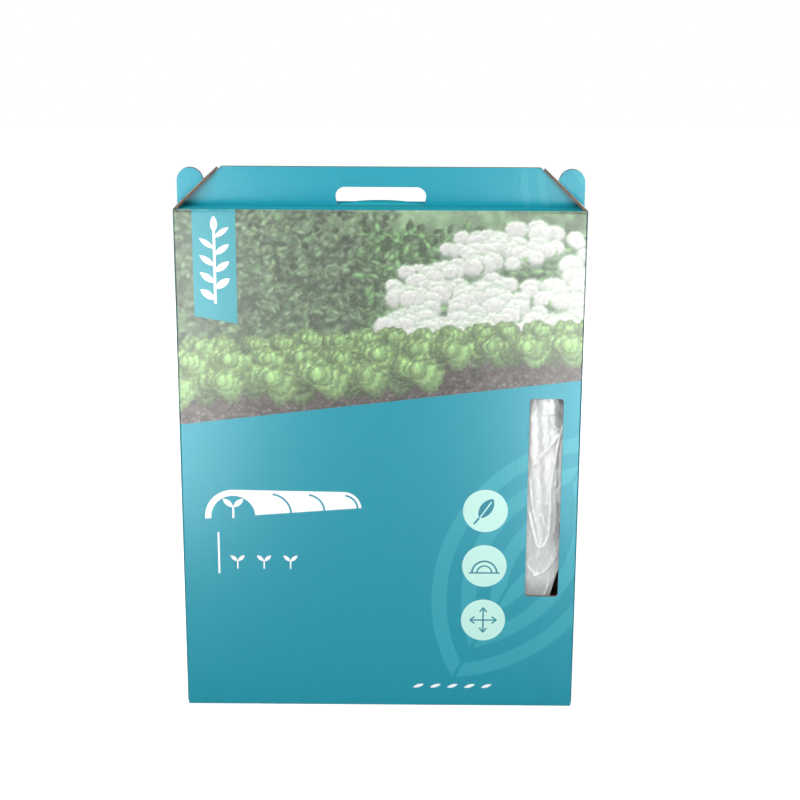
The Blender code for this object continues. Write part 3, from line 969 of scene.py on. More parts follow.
    def colours_at(self, x: np.ndarray, z: np.ndarray) -> np.ndarray:
        """Linear colours at places in millimetres, for a mesh's points."""
        i = np.clip(np.rint((x - self.LEFT) / self.CELL).astype(int), 0, len(self.x) - 1)
        j = np.clip(np.rint((z - self.LOW) / self.CELL).astype(int), 0, len(self.z) - 1)
        return np.concatenate([linear_light(self.rgb[j, i]), np.ones((len(x), 1))], 1)


# Printed paper round the carton


@dataclass(frozen=True)
class Span:
    """One direction of a sheet of paper: where it runs, and how far it turns over the
    rounded creases at its two ends."""

    low: float
    high: float
    low_turn: float = 0.0
    high_turn: float = 0.0
    radius: float = CARTON.crease_radius
    steps: int = 4

    def flat(self) -> Point:
        """The two ends of the flat part."""
        return (self.low + self.radius * (self.low_turn > 0), self.high - self.radius * (self.high_turn > 0))

    def stations(self, inner: Iterable[float]) -> list[Point]:
        """Places along the span: a flat position and a turn over a crease.

        Args:
            inner: positions on the flat part, its ends not among them.

        Returns:
            Pairs of flat position and turn, the turn 0 on the flat part.
        """
        start, end = self.flat()
        places = []
        if self.low_turn > 0:
            places = [(start, -self.low_turn * (1 - k / self.steps)) for k in range(self.steps)]
        places += [(start, 0.0)] + [(place, 0.0) for place in inner if start < place < end] + [(end, 0.0)]
        if self.high_turn > 0:
            places += [(end, self.high_turn * (k + 1) / self.steps) for k in range(self.steps)]
        return places

    def along(self, station: Point, lift: float) -> float:
        """Position of a station on paper that is lifted off the board."""
        return station[0] + (self.radius + lift) * math.sin(station[1])

    def depth(self, station: Point, lift: float) -> float:
        """How far behind the printed face a station is."""
        return self.radius - (self.radius + lift) * math.cos(station[1])


@dataclass(frozen=True)
class CartonPaper:
    """The printed outer paper of the carton's walls and top, laid just over the board."""

    sizes: CartonSizes = CARTON
    paper: float = 0.00012
    seat: float = 0.00001
    cell: float = 0.00125
    picture_foot: float = 0.360
    upright_share: float = math.radians(42)
    level_share: float = math.radians(68)
    corner_steps: int = 8

    def window_loop(self) -> list[Point]:
        """The window's outline, anticlockwise."""
        left, right, low, high = self.sizes.window
        r = self.sizes.window_radius
        corners = (
            (right - r, low + r, -QUARTER), (right - r, high - r, 0),
            (left + r, high - r, QUARTER), (left + r, low + r, math.pi),
        )
        points: list[Point] = []
        for x, z, turn in corners:
            points += arc((x, z), r, turn, turn + QUARTER, 6)
        return points

    def layer(
        self, bm: bmesh.types.BMesh, across: tuple[Span, list[Point]], up: tuple[Span, list[Point]],
        lift: float, place: Place, hollow: Callable[[int, int], bool],
    ) -> list[list[bmesh.types.BMVert]]:
        """Lay one side of a sheet of paper as a grid.

        Args:
            bm: gets the faces.
            across, up: each direction's span and stations.
            lift: height over the board.
            place: turns along, up and depth into a point of the carton.
            hollow: says which cells stay open.

        Returns:
            The grid's points, row by row.
        """
        (wide, columns), (tall, rows) = across, up

        def vertex(c: Point, r: Point) -> bmesh.types.BMVert:
            depth = max(wide.depth(c, lift), tall.depth(r, lift))
            return bm.verts.new(place(wide.along(c, lift), tall.along(r, lift), depth))

        verts = [[vertex(c, r) for c in columns] for r in rows]
        for j in range(len(rows) - 1):
            for i in range(len(columns) - 1):
                if not hollow(i, j):
                    bm.faces.new((verts[j][i], verts[j][i + 1], verts[j + 1][i + 1], verts[j + 1][i]))
        return verts

    def rim(self, bm: bmesh.types.BMesh, outer: list, inner: list) -> None:
        """Join the outer borders of a sheet's two sides."""
        loops = [
            grid[0][:-1] + [row[-1] for row in grid[:-1]] + grid[-1][:0:-1] + [row[0] for row in grid[:0:-1]]
            for grid in (outer, inner)
        ]
        self.bridge(bm, *loops)

    def bridge(self, bm: bmesh.types.BMesh, first: list, second: list) -> None:
        """Join two loops of points that correspond."""
        for k, a in enumerate(first):
            j = (k + 1) % len(first)
            bm.faces.new((a, first[j], second[j], second[k]))

    def panel(
        self, name: str, across: Span, up: Span, place: Place, ink: bpy.types.Material
    ) -> bpy.types.Object:
        """Build a plain sheet of paper that turns over its creases.

        Args:
            name: the piece's name.
            across, up: its two directions.
            place: turns along, up and depth into a point of the carton.
            ink: its material.

        Returns:
            The piece.
        """
        bm = bmesh.new()
        ways = [(span, span.stations(np.linspace(span.low, span.high, 9)[1:-1])) for span in (across, up)]
        outer = self.layer(bm, *ways, self.seat + self.paper, place, lambda i, j: False)
        inner = self.layer(bm, *ways, self.seat, place, lambda i, j: False)
        self.rim(bm, outer, inner)
        bmesh.ops.recalc_face_normals(bm, faces=bm.faces)
        return self.smooth(settle(name, bm, ink))

    def smooth(self, thing: bpy.types.Object) -> bpy.types.Object:
        """Shade a piece smooth, but for its sharp edges."""
        thing.data.polygons.foreach_set("use_smooth", [True] * len(thing.data.polygons))
        thing.data.set_sharp_from_angle(angle=SHARP_ANGLE)
        return thing

    def front(self, picture: GardenPicture, ink: bpy.types.Material) -> bpy.types.Object:
        """Build the front's paper, fine where the picture is and open at the window.

        Args:
            picture: gives the colours of its points.
            ink: the front's material.

        Returns:
            The piece.
        """
        w, h, r = self.sizes.half_width, self.sizes.height, self.sizes.crease_radius
        left, right, low, high = self.sizes.window
        across = Span(-w, w, self.upright_share, self.upright_share)
        up = Span(0.0, h, self.level_share, self.level_share)
        columns = across.stations(np.linspace(r - w, w - r, int(2 * (w - r) / self.cell) + 1)[1:-1])
        fine = np.linspace(self.picture_foot, h - r, int((h - r - self.picture_foot) / self.cell) + 1)
        coarse = [0.05, 0.10, low - 0.003] + list(np.linspace(low + 0.02, self.picture_foot - 0.01, 16))
        rows = up.stations(coarse + list(fine[:-1]))

        def hollow(i: int, j: int) -> bool:
            near, far = columns[i][0], columns[i + 1][0]
            under, over = rows[j][0], rows[j + 1][0]
            return far > left - 0.001 and near < right + 0.001 and over > low - 0.001 and under < high + 0.001

        def place(x: float, z: float, depth: float) -> Spot:
            return (x, depth - self.sizes.half_depth, z)

        flat_columns = [k for k, column in enumerate(columns) if column[1] == 0]
        flat_rows = [k for k, row in enumerate(rows) if row[1] == 0]
        flat = (flat_columns[0], flat_columns[-1], flat_rows[0], flat_rows[-1])

        def level(i: int, j: int) -> bool:
            return flat[0] <= i < flat[1] and flat[2] <= j < flat[3]

        bm = bmesh.new()
        lift = self.seat + self.paper
        outer = self.layer(bm, (across, columns), (up, rows), lift, place, hollow)
        inner = self.layer(bm, (across, columns), (up, rows), self.seat, place, level)
        rings = [[bm.verts.new(place(x, z, -at)) for x, z in self.window_loop()] for at in (lift, self.seat)]
        self.bridge(bm, *rings)
        border = [i for i in flat_columns if any(hollow(i, j) for j in flat_rows[:-1])]
        edge_rows = [j for j in flat_rows[:-1] if hollow(border[0], j)]
        box = (border[0], border[-1] + 1, edge_rows[0], edge_rows[-1] + 1)
        self.fill(bm, self.frame_loop(outer, box), rings[0], (0, -1, 0))
        self.fill(bm, self.frame_loop(inner, flat), rings[1], (0, 1, 0))
        self.rim(bm, outer, inner)
        bmesh.ops.delete(bm, geom=[v for v in bm.verts if not v.link_faces], context="VERTS")
        bmesh.ops.recalc_face_normals(bm, faces=bm.faces)
        thing = self.smooth(settle("front_print", bm, ink))
        places = np.array([v.co for v in thing.data.vertices])
        layer = thing.data.attributes.new(GardenPicture.ATTRIBUTE, "FLOAT_COLOR", "POINT")
        layer.data.foreach_set("color", picture.colours_at(places[:, 0] / MM, places[:, 2] / MM).ravel())
        return thing

    def frame_loop(self, grid: list, box: tuple[int, int, int, int]) -> list[bmesh.types.BMVert]:
        """The grid's points round a box of cells: first and last column, first and last row."""
        left, right, low, high = box
        loop = [grid[low][i] for i in range(left, right)] + [grid[j][right] for j in range(low, high)]
        loop += [grid[high][i] for i in range(right, left, -1)]
        return loop + [grid[j][left] for j in range(high, low, -1)]

    def fill(self, bm: bmesh.types.BMesh, outside: list, inside: list, normal: Sequence[float]) -> None:
        """Fill the flat part between an outer and an inner loop."""
        edges = []
        for loop in (outside, inside):
            for a, b in zip(loop, loop[1:] + loop[:1]):
                edges.append(bm.edges.get((a, b)) or bm.edges.new((a, b)))
        bmesh.ops.triangle_fill(bm, edges=edges, use_beauty=False, normal=normal)

    def strip(
        self, name: str, path: Sequence[Point], ends: Sequence[float], place: Place, ink: bpy.types.Material
    ) -> bpy.types.Object:
        """Sweep paper along a path.

        Args:
            name: the piece's name.
            path: its outer line, with the board on the right-hand side.
            ends: the places across the path, from where the strip starts to where it stops.
            place: turns a path point and a place across it into a point of the carton.
            ink: its material.

        Returns:
            The piece.
        """
        normals = []
        for k in range(len(path)):
            a, b = path[max(k - 1, 0)], path[min(k + 1, len(path) - 1)]
            run = math.hypot(b[0] - a[0], b[1] - a[1])
            normals.append((-(b[1] - a[1]) / run, (b[0] - a[0]) / run))
        outer, inner = (
            [(p[0] + n[0] * lift, p[1] + n[1] * lift) for p, n in zip(path, normals)]
            for lift in (self.seat + self.paper, self.seat)
        )
        bm = bmesh.new()
        loops = [[bm.verts.new(place(*spot, across)) for spot in outer + inner[::-1]] for across in ends]
        for first, second in zip(loops, loops[1:]):
            self.bridge(bm, first, second)
        count = len(loops[0])
        for side, loop in enumerate((loops[0], loops[-1])):
            for k in range(len(path) - 1):
                quad = (loop[k], loop[k + 1], loop[count - 2 - k], loop[count - 1 - k])
                bm.faces.new(quad if side else quad[::-1])
        bmesh.ops.recalc_face_normals(bm, faces=bm.faces)
        return self.smooth(settle(name, bm, ink))

    def walls(self, ink: bpy.types.Material) -> list[bpy.types.Object]:
        """Build the paper of the sides and the back, as far as the creases' middles."""
        w, d, h = self.sizes.half_width, self.sizes.half_depth, self.sizes.height
        rest, level, step = QUARTER - self.upright_share, self.level_share, self.sizes.board + self.sizes.fit
        rear_up, side_up = Span(0.0, h, level, level), Span(step, h - self.sizes.fit, level)
        rear_across = Span(step - w, w, self.upright_share, self.upright_share)

        def left(y: float, z: float, depth: float) -> Spot:
            return (depth - w, y, z)

        def right(y: float, z: float, depth: float) -> Spot:
            return (w - depth, y, z)

        def rear(x: float, z: float, depth: float) -> Spot:
            return (x, d - depth, z)

        return [
            self.panel("left_wall_print", Span(-d, d, rest), side_up, left, ink),
            self.panel("right_wall_print", Span(-d, d, rest, rest), side_up, right, ink),
            self.panel("rear_wall_print", rear_across, rear_up, rear, ink),
        ]

    def top(self, ink: bpy.types.Material) -> list[bpy.types.Object]:
        """Build the paper of the two shelves, which rolls over the top creases."""
        d, r, h = self.sizes.half_depth, self.sizes.crease_radius, self.sizes.height
        reach = self.sizes.half_width - self.sizes.board - self.sizes.fit
        stop = self.sizes.board + 2 * self.sizes.fit
        path = arc((-d + r, h - r), r, math.pi - self.level_share, QUARTER, self.corner_steps) + [(-stop, h)]
        rear = [(-y, z) for y, z in reversed(path)]

        def place(y: float, z: float, x: float) -> Spot:
            return (x, y, z)

        return [
            self.strip("front_shelf_print", path, (-reach, reach), place, ink),
            self.strip("rear_shelf_print", rear, (-reach, reach), place, ink),
        ]


# Fluted board


@dataclass(frozen=True)
class Fluting:
    """The wavy paper between two liners, made by Geometry Nodes."""

    pitch: float = 0.0065
    rise: float = 0.00185
    paper: float = 0.00026
    steps: int = 10

    def tree(self) -> bpy.types.NodeTree:
        """Build the tree: a grid, waved along X, thickened, joined and closed."""
        tree = bpy.data.node_groups.new("fluting", "GeometryNodeTree")
        face = tree.interface
        for name in ("Width", "Length", "Pitch", "Rise", "Paper"):
            face.new_socket(name, in_out="INPUT", socket_type="NodeSocketFloat")
        face.new_socket("Columns", in_out="INPUT", socket_type="NodeSocketInt")
        face.new_socket("Material", in_out="INPUT", socket_type="NodeSocketMaterial")
        face.new_socket("Geometry", in_out="OUTPUT", socket_type="NodeSocketGeometry")
        add, wire = tree.nodes.new, tree.links.new
        given, out = add("NodeGroupInput"), add("NodeGroupOutput")
        grid, shift = add("GeometryNodeMeshGrid"), add("GeometryNodeSetPosition")
        split, combine = add("ShaderNodeSeparateXYZ"), add("ShaderNodeCombineXYZ")
        wire(given.outputs["Width"], grid.inputs["Size X"])
        wire(given.outputs["Length"], grid.inputs["Size Y"])
        wire(given.outputs["Columns"], grid.inputs["Vertices X"])
        grid.inputs["Vertices Y"].default_value = 2
        wire(add("GeometryNodeInputPosition").outputs[0], split.inputs[0])
        turn = Field(tree, split.outputs[0]) / Field(tree, given.outputs["Pitch"]) * TAU
        lift = turn.sine() * Field(tree, given.outputs["Rise"]) * 0.5
        wire(lift.socket, combine.inputs[2])
        wire(grid.outputs["Mesh"], shift.inputs["Geometry"])
        wire(combine.outputs[0], shift.inputs["Offset"])
        extrude, flip = add("GeometryNodeExtrudeMesh"), add("GeometryNodeFlipFaces")
        join, merge = add("GeometryNodeJoinGeometry"), add("GeometryNodeMergeByDistance")
        extrude.inputs["Individual"].default_value = False
        up = add("ShaderNodeCombineXYZ")
        up.inputs[2].default_value = 1.0
        wire(shift.outputs[0], extrude.inputs["Mesh"])
        wire(up.outputs[0], extrude.inputs["Offset"])
        wire(given.outputs["Paper"], extrude.inputs["Offset Scale"])
        wire(shift.outputs[0], flip.inputs[0])
        wire(flip.outputs[0], join.inputs[0])
        wire(extrude.outputs["Mesh"], join.inputs[0])
        real, finish = add("GeometryNodeRealizeInstances"), add("GeometryNodeSetMaterial")
        merge.inputs["Distance"].default_value = 1e-6
        wire(join.outputs[0], merge.inputs[0])
        wire(merge.outputs[0], real.inputs[0])
        wire(real.outputs[0], finish.inputs["Geometry"])
        wire(given.outputs["Material"], finish.inputs["Material"])
        wire(finish.outputs[0], out.inputs["Geometry"])
        return tree

    def mesh(
        self, tree: bpy.types.NodeTree, width: float, length: float, kraft: bpy.types.Material
    ) -> bpy.types.Mesh:
        """Run the tree for one sheet and give its plain mesh, lying in XY about the origin."""
        carrier = link("fluting_carrier", bpy.data.meshes.new("fluting_carrier"))
        modifier = carrier.modifiers.new("fluting", "NODES")
        modifier.node_group = tree
        values = {
            "Width": width, "Length": length, "Pitch": self.pitch, "Rise": self.rise, "Paper": self.paper,
            "Columns": int(width / self.pitch * self.steps) + 1, "Material": kraft,
        }
        for item in tree.interface.items_tree:
            if item.in_out == "INPUT":
                modifier[item.identifier] = values[item.name]
        made = bpy.data.meshes.new_from_object(carrier.evaluated_get(bpy.context.evaluated_depsgraph_get()))
        bpy.data.objects.remove(carrier, do_unlink=True)
        return made


@dataclass(frozen=True)
class FlutedBoard:
    """Board with a printed liner, a fluted middle and a brown liner, cut to an outline."""

    fluting: Fluting = Fluting()
    liner: float = 0.00036
    thickness: float = CARTON.board

    def prism(
        self, bm: bmesh.types.BMesh, outline: Sequence[Point], depths: Point, place: Place,
        slot: Callable[[int], int],
    ) -> None:
        """Add a closed plate between two depths.

        Args:
            bm: gets the plate.
            outline: its points along and across, anticlockwise.
            depths: how deep it starts and ends, from the printed face.
            place: turns along, across and depth into a point of the carton.
            slot: the material of the cap at the start, 0, at the end, 1, and of the rim, 2.
        """
        rings = [[bm.verts.new(place(a, b, depth)) for a, b in outline] for depth in depths]
        count = len(outline)
        caps = [bm.faces.new(rings[0]), bm.faces.new(rings[1][::-1])]
        for k, cap in enumerate(caps):
            cap.material_index = slot(k)
            cap.normal_update()
        for k in range(count):
            j = (k + 1) % count
            side = bm.faces.new((rings[0][j], rings[0][k], rings[1][k], rings[1][j]))
            side.material_index = slot(2)
        bmesh.ops.triangulate(bm, faces=caps)

    def build(
        self, name: str, outline: Sequence[Point], place: Place, tree: bpy.types.NodeTree,
        ink: bpy.types.Material, kraft: bpy.types.Material,
        core: bpy.types.Material | None = None, turned: bool = False,
    ) -> bpy.types.Object:
        """Build one board.

        Args:
            name: the piece's name.
            outline: its points, the flutes following each other along the first axis.
            place: turns those and a depth into a point of the carton.
            tree: the fluting's tree.
            ink: the printed face's material.
            kraft: the brown paper's.
            core: the printed paper's own cut edge, where it shows; else the brown paper's.
            turned: the flutes follow each other along the second axis.

        Returns:
            The piece.
        """
        bm = bmesh.new()
        cut = 2 if core else 1
        self.prism(bm, outline, (0.0, self.liner), place, lambda part: (0, 1, cut)[part])
        self.prism(bm, outline, (self.thickness - self.liner, self.thickness), place, lambda part: 1)
        bmesh.ops.recalc_face_normals(bm, faces=bm.faces)
        middle = self.cut_fluting(outline, place, tree, kraft, turned)
        start = len(bm.faces)
        bm.from_mesh(middle)
        bm.faces.ensure_lookup_table()
        for face in bm.faces[start:]:
            face.material_index = 1
        return settle(name, bm, ink, kraft, *([core] if core else []))

    def cut_fluting(
        self, outline: Sequence[Point], place: Place, tree: bpy.types.NodeTree,
        kraft: bpy.types.Material, turned: bool,
    ) -> bpy.types.Mesh:
        """Cut the fluted middle to the outline, in the carton's frame."""
        low = [min(p[k] for p in outline) for k in (0, 1)]
        high = [max(p[k] for p in outline) for k in (0, 1)]
        size = [high[k] - low[k] + 2 * self.fluting.pitch for k in (0, 1)]
        width, length = size[::-1] if turned else size
        centre = [(high[k] + low[k]) / 2 for k in (0, 1)]
        flat = bmesh.new()
        flat.from_mesh(self.fluting.mesh(tree, width, length, kraft))
        for vert in flat.verts:
            x, y, z = vert.co
            along, across = (y, x) if turned else (x, y)
            vert.co = (centre[0] + along, centre[1] + across, self.thickness / 2 - self.fluting.paper / 2 + z)
        bmesh.ops.recalc_face_normals(flat, faces=flat.faces)
        sheet = settle("fluting_sheet", flat, kraft)
        cutter_bm, depths = bmesh.new(), (-self.thickness, 2 * self.thickness)
        self.prism(cutter_bm, outline, depths, lambda a, b, c: (a, b, c), lambda part: 0)
        bmesh.ops.recalc_face_normals(cutter_bm, faces=cutter_bm.faces)
        cutter = settle("fluting_cutter", cutter_bm, kraft)
        modifier = sheet.modifiers.new("cut", "BOOLEAN")
        modifier.operation, modifier.solver, modifier.object = "INTERSECT", "EXACT", cutter
        made = bpy.data.meshes.new_from_object(sheet.evaluated_get(bpy.context.evaluated_depsgraph_get()))
        for thing in (sheet, cutter):
            bpy.data.objects.remove(thing, do_unlink=True)
        for vert in made.vertices:
            vert.co = place(*vert.co)
        turned_over = bmesh.new()
        turned_over.from_mesh(made)
        bmesh.ops.recalc_face_normals(turned_over, faces=turned_over.faces)
        turned_over.to_mesh(made)
        turned_over.free()
        return made


@dataclass(frozen=True)
class CarryTop:
    """The handle panels, the tongue and the lock flaps."""

    sizes: CartonSizes = CARTON
    board: FlutedBoard = FlutedBoard()
    handle_height: float = 0.045
    handle_corner: float = 0.003
    ear_width: float = 0.0304
    ear_top: float = 0.0435
    ear_inset: float = 0.0015
    hole_width: float = 0.105
    hole_height: float = 0.022
    hole_radius: float = 0.011
    hole_foot_inset: float = 0.0033
    tongue_room: float = 0.001
    tongue_shoulder: float = 0.003
    flap_length: float = 0.065
    flap_tilt: float = math.radians(43)
    flap_side_room: float = 0.0005
    flap_end_width: float = 0.012
    flap_corner: float = 0.003
    flap_heel: float = 0.0012
    crease_room: float = 0.0004
    slot_side_room: float = 0.001
    slot_end_room: float = 0.0015
    fold_tail: float = 0.0015
    steps: int = 20

    def ear_centre(self) -> Point:
        """Middle of the right ear's round top."""
        radius = self.ear_width / 2
        return (self.sizes.half_width - self.ear_inset - radius, self.sizes.height + self.ear_top - radius)

    def mitre(self) -> float:
        """How far inside the hinge the handle's sloping end meets the hinge's height."""
        return (self.sizes.hinge_offset + self.sizes.board + self.sizes.fit) / math.sin(self.flap_tilt)

    def handle_half(self) -> list[Point]:
        """Outline of the handle's right half, from the crease to the top edge."""
        centre, radius = self.ear_centre(), self.ear_width / 2
        on_line = (self.sizes.hinge_x - self.mitre(), self.sizes.hinge_z)
        reach = (on_line[0] - centre[0]) * math.sin(self.flap_tilt)
        reach += (on_line[1] - centre[1]) * math.cos(self.flap_tilt)
        stop = QUARTER - self.flap_tilt + math.acos(max(-1.0, min(1.0, reach / radius)))
        points = [(self.sizes.half_width - self.ear_inset, self.sizes.height + self.sizes.fit)]
        points += arc(centre, radius, 0, stop, self.steps)
        top = self.sizes.height + self.handle_height
        corner = self.sizes.hinge_x - self.mitre() - (top - self.sizes.hinge_z) / math.tan(self.flap_tilt)
        tangent = self.handle_corner * math.tan(self.flap_tilt / 2)
        fillet = (corner - tangent, top - self.handle_corner)
        return points + arc(fillet, self.handle_corner, QUARTER - self.flap_tilt, QUARTER, 6)

    def hole_half(self) -> list[Point]:
        """Outline of the hand hole's right half, from its top down to the crease."""
        half, waist = self.hole_width / 2, self.sizes.height + self.hole_height - self.hole_radius
        points = arc((half - self.hole_radius, waist), self.hole_radius, QUARTER, 0, 10)
        drop = waist - self.sizes.height - self.sizes.fit
        radius = (drop**2 + self.hole_foot_inset**2) / (2 * self.hole_foot_inset)
        return points + arc((half - radius, waist), radius, 0, -math.asin(drop / radius), 8)[1:]

    def handle_outline(self) -> list[Point]:
        """The whole handle panel, with the hole open at its foot."""
        right, hole = self.handle_half(), self.hole_half()
        left = [(-x, z) for x, z in reversed(right)]
        return right + left + [(-x, z) for x, z in reversed(hole)] + hole

    def handles(self, tree: bpy.types.NodeTree, ink: bpy.types.Material, kraft: bpy.types.Material) -> None:
        """Build the two upright panels, printed outside."""
        outline, reach = self.handle_outline(), self.sizes.fit / 2 + self.sizes.board
        for name, side in (("front_handle", -1), ("rear_handle", 1)):

            def place(x: float, z: float, depth: float, side: int = side) -> Spot:
                return (x, side * (reach - depth), z)

            thing = self.board.build(name, outline, place, tree, ink, kraft)
            dress(thing, "carton", "printed_board", f"{name}_panel")

    def tongue(self, tree: bpy.types.NodeTree, ink: bpy.types.Material, kraft: bpy.types.Material) -> None:
        """Build the tongue where it lies, folded back over the rear shelf."""
        half = self.hole_width / 2 - self.hole_foot_inset - self.tongue_room
        length = self.hole_height - self.tongue_room - self.sizes.hinge_offset
        rise = length - self.tongue_shoulder
        radius = (half**2 + rise**2) / (2 * rise)
        sweep = math.asin(half / radius)
        tip = arc((0, length - radius), radius, QUARTER - sweep, QUARTER + sweep, self.steps)
        heel_line = [half * (k / 8 - 1) for k in range(17)]
        outline = [(x, self.sizes.fit) for x in heel_line] + tip
        board, start = self.sizes.board, self.sizes.fit / 2
        base = self.sizes.height + 2 * self.sizes.hinge_offset

        def crushed(x: float) -> float:
            """How much of its thickness the board keeps towards the ends of its fold."""
            return 1 - 0.7 * min(1.0, abs(x) / half) ** 3

        def place(x: float, along: float, depth: float) -> Spot:
            above = (board - depth) * crushed(x)
            return (x, max(along, self.sizes.fit + above) - start, base + above)

        def over_fold(y: float, z: float, x: float) -> Spot:
            return (x, start + y * crushed(x), base + z * crushed(x))

        thing = self.board.build("tongue_board", outline, place, tree, ink, kraft)
        dress(thing, "tongue", "printed_board", "hand_hole_tongue")
        fold = [(0, 0), (board * 0.55, board * 0.58), (board, board), (board + self.fold_tail, board)]
        skin = CartonPaper().strip("tongue_fold_print", fold, heel_line, over_fold, ink)
        dress(skin, "tongue", "printed_board")

    def flap_outline(self) -> list[Point]:
        """A lock flap seen square on: along it from the crease, and across."""
        across = self.sizes.half_depth - self.flap_side_room
        slot = self.sizes.fit / 2 + self.sizes.board + self.slot_side_room
        end, heel = self.flap_length - self.flap_corner, self.flap_heel
        aside = self.flap_end_width / 2 - self.flap_corner
        taper = math.atan((across - self.flap_end_width / 2) / self.flap_length)
        centre = self.ear_centre()
        reach = math.hypot(self.sizes.hinge_x - centre[0], centre[1] - self.sizes.hinge_z)
        reach += self.ear_width / 2 + self.slot_end_room
        points = [(heel, -across)]
        points += arc((end, -aside), self.flap_corner, taper - QUARTER, 0, 6)
        points += arc((end, aside), self.flap_corner, 0, QUARTER - taper, 6)
        points += [(heel, across), (heel, slot)]
        points += arc((reach - slot, 0), slot, QUARTER, -QUARTER, 12)
        return points + [(heel, -slot)]

    def flaps(
        self, tree: bpy.types.NodeTree, ink: bpy.types.Material, kraft: bpy.types.Material,
        core: bpy.types.Material,
    ) -> None:
        """Build the two lock flaps where they lean on the handle, printed outside."""
        c, s = math.cos(self.flap_tilt), math.sin(self.flap_tilt)
        outline = self.flap_outline()
        for name, side in (("left", -1), ("right", 1)):

            def place(along: float, across: float, depth: float, side: int = side) -> Spot:
                level = self.sizes.hinge_offset + depth
                along = max(along, self.crease_room + depth / math.tan(self.flap_tilt))
                x = self.sizes.hinge_x - along * c - level * s
                return (side * x, across, self.sizes.hinge_z + along * s - level * c)

            thing = self.board.build(
                f"{name}_flap_board", outline, place, tree, ink, kraft, core, turned=True
            )
            dress(thing, f"{name}_flap", "printed_board", f"{name}_lock_flap")


def dress(thing: bpy.types.Object, body: str, slot: str, *nodes: str) -> bpy.types.Object:
    """Make a piece ride on a body, hide the nodes it stands for and log its faces."""
    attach(thing, body)
    if nodes:
        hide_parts(*nodes)
    LOG.info("%s: %d faces", thing.name, len(thing.data.polygons))
    return thing


# Film

# Long creases of the front curtain: width, height, whiteness (partly a painted highlight; the wide last one
# is a painted bright band), and points in millimetres
WINDOW_CREASES = (
    (0.8, 0.7, 0.8, ((212.5, 384.1), (217.7, 365.9), (215.9, 354.7))),
    (0.9, 0.6, 0.6, ((204.9, 361.5), (215.9, 353.8))),
    (1.5, 1.0, 0.9, ((215.8, 352.9), (199.8, 333.5), (190.6, 323.5), (182.0, 312.4))),
    (1.0, 1.0, 1.0, (
        (214.2, 349.8), (208.7, 315.2), (204.5, 290.6), (204.9, 259.3), (203.6, 224.1),
        (199.6, 213.2), (194.3, 207.0),
    )),
    (1.0, 0.9, 1.0, ((179.0, 253.1), (184.0, 231.6), (189.4, 211.8), (194.4, 206.2))),
    (0.9, 0.7, 0.8, ((178.1, 297.1), (184.3, 254.9), (189.6, 235.3), (194.2, 211.0))),
    (0.7, 0.5, 0.5, ((195.0, 249.4), (198.1, 233.6))),
    (0.8, 0.7, 0.7, (
        (213.6, 202.6), (213.3, 195.9), (208.2, 186.4), (200.5, 177.8), (188.3, 171.0), (179.2, 184.6),
    )),
    (0.8, 0.7, 0.6, ((205.8, 166.6), (203.1, 153.5), (199.1, 144.3))),
    (5.0, 1.2, 0.8, ((199.8, 399.3), (200.6, 385.0), (201.7, 374.0))),
)


def ramp(values: np.ndarray, start: float, end: float) -> np.ndarray:
    """0 before the start and 1 past the end, straight between. The end may be the lower one."""
    return np.clip((values - start) / (end - start), 0, 1)


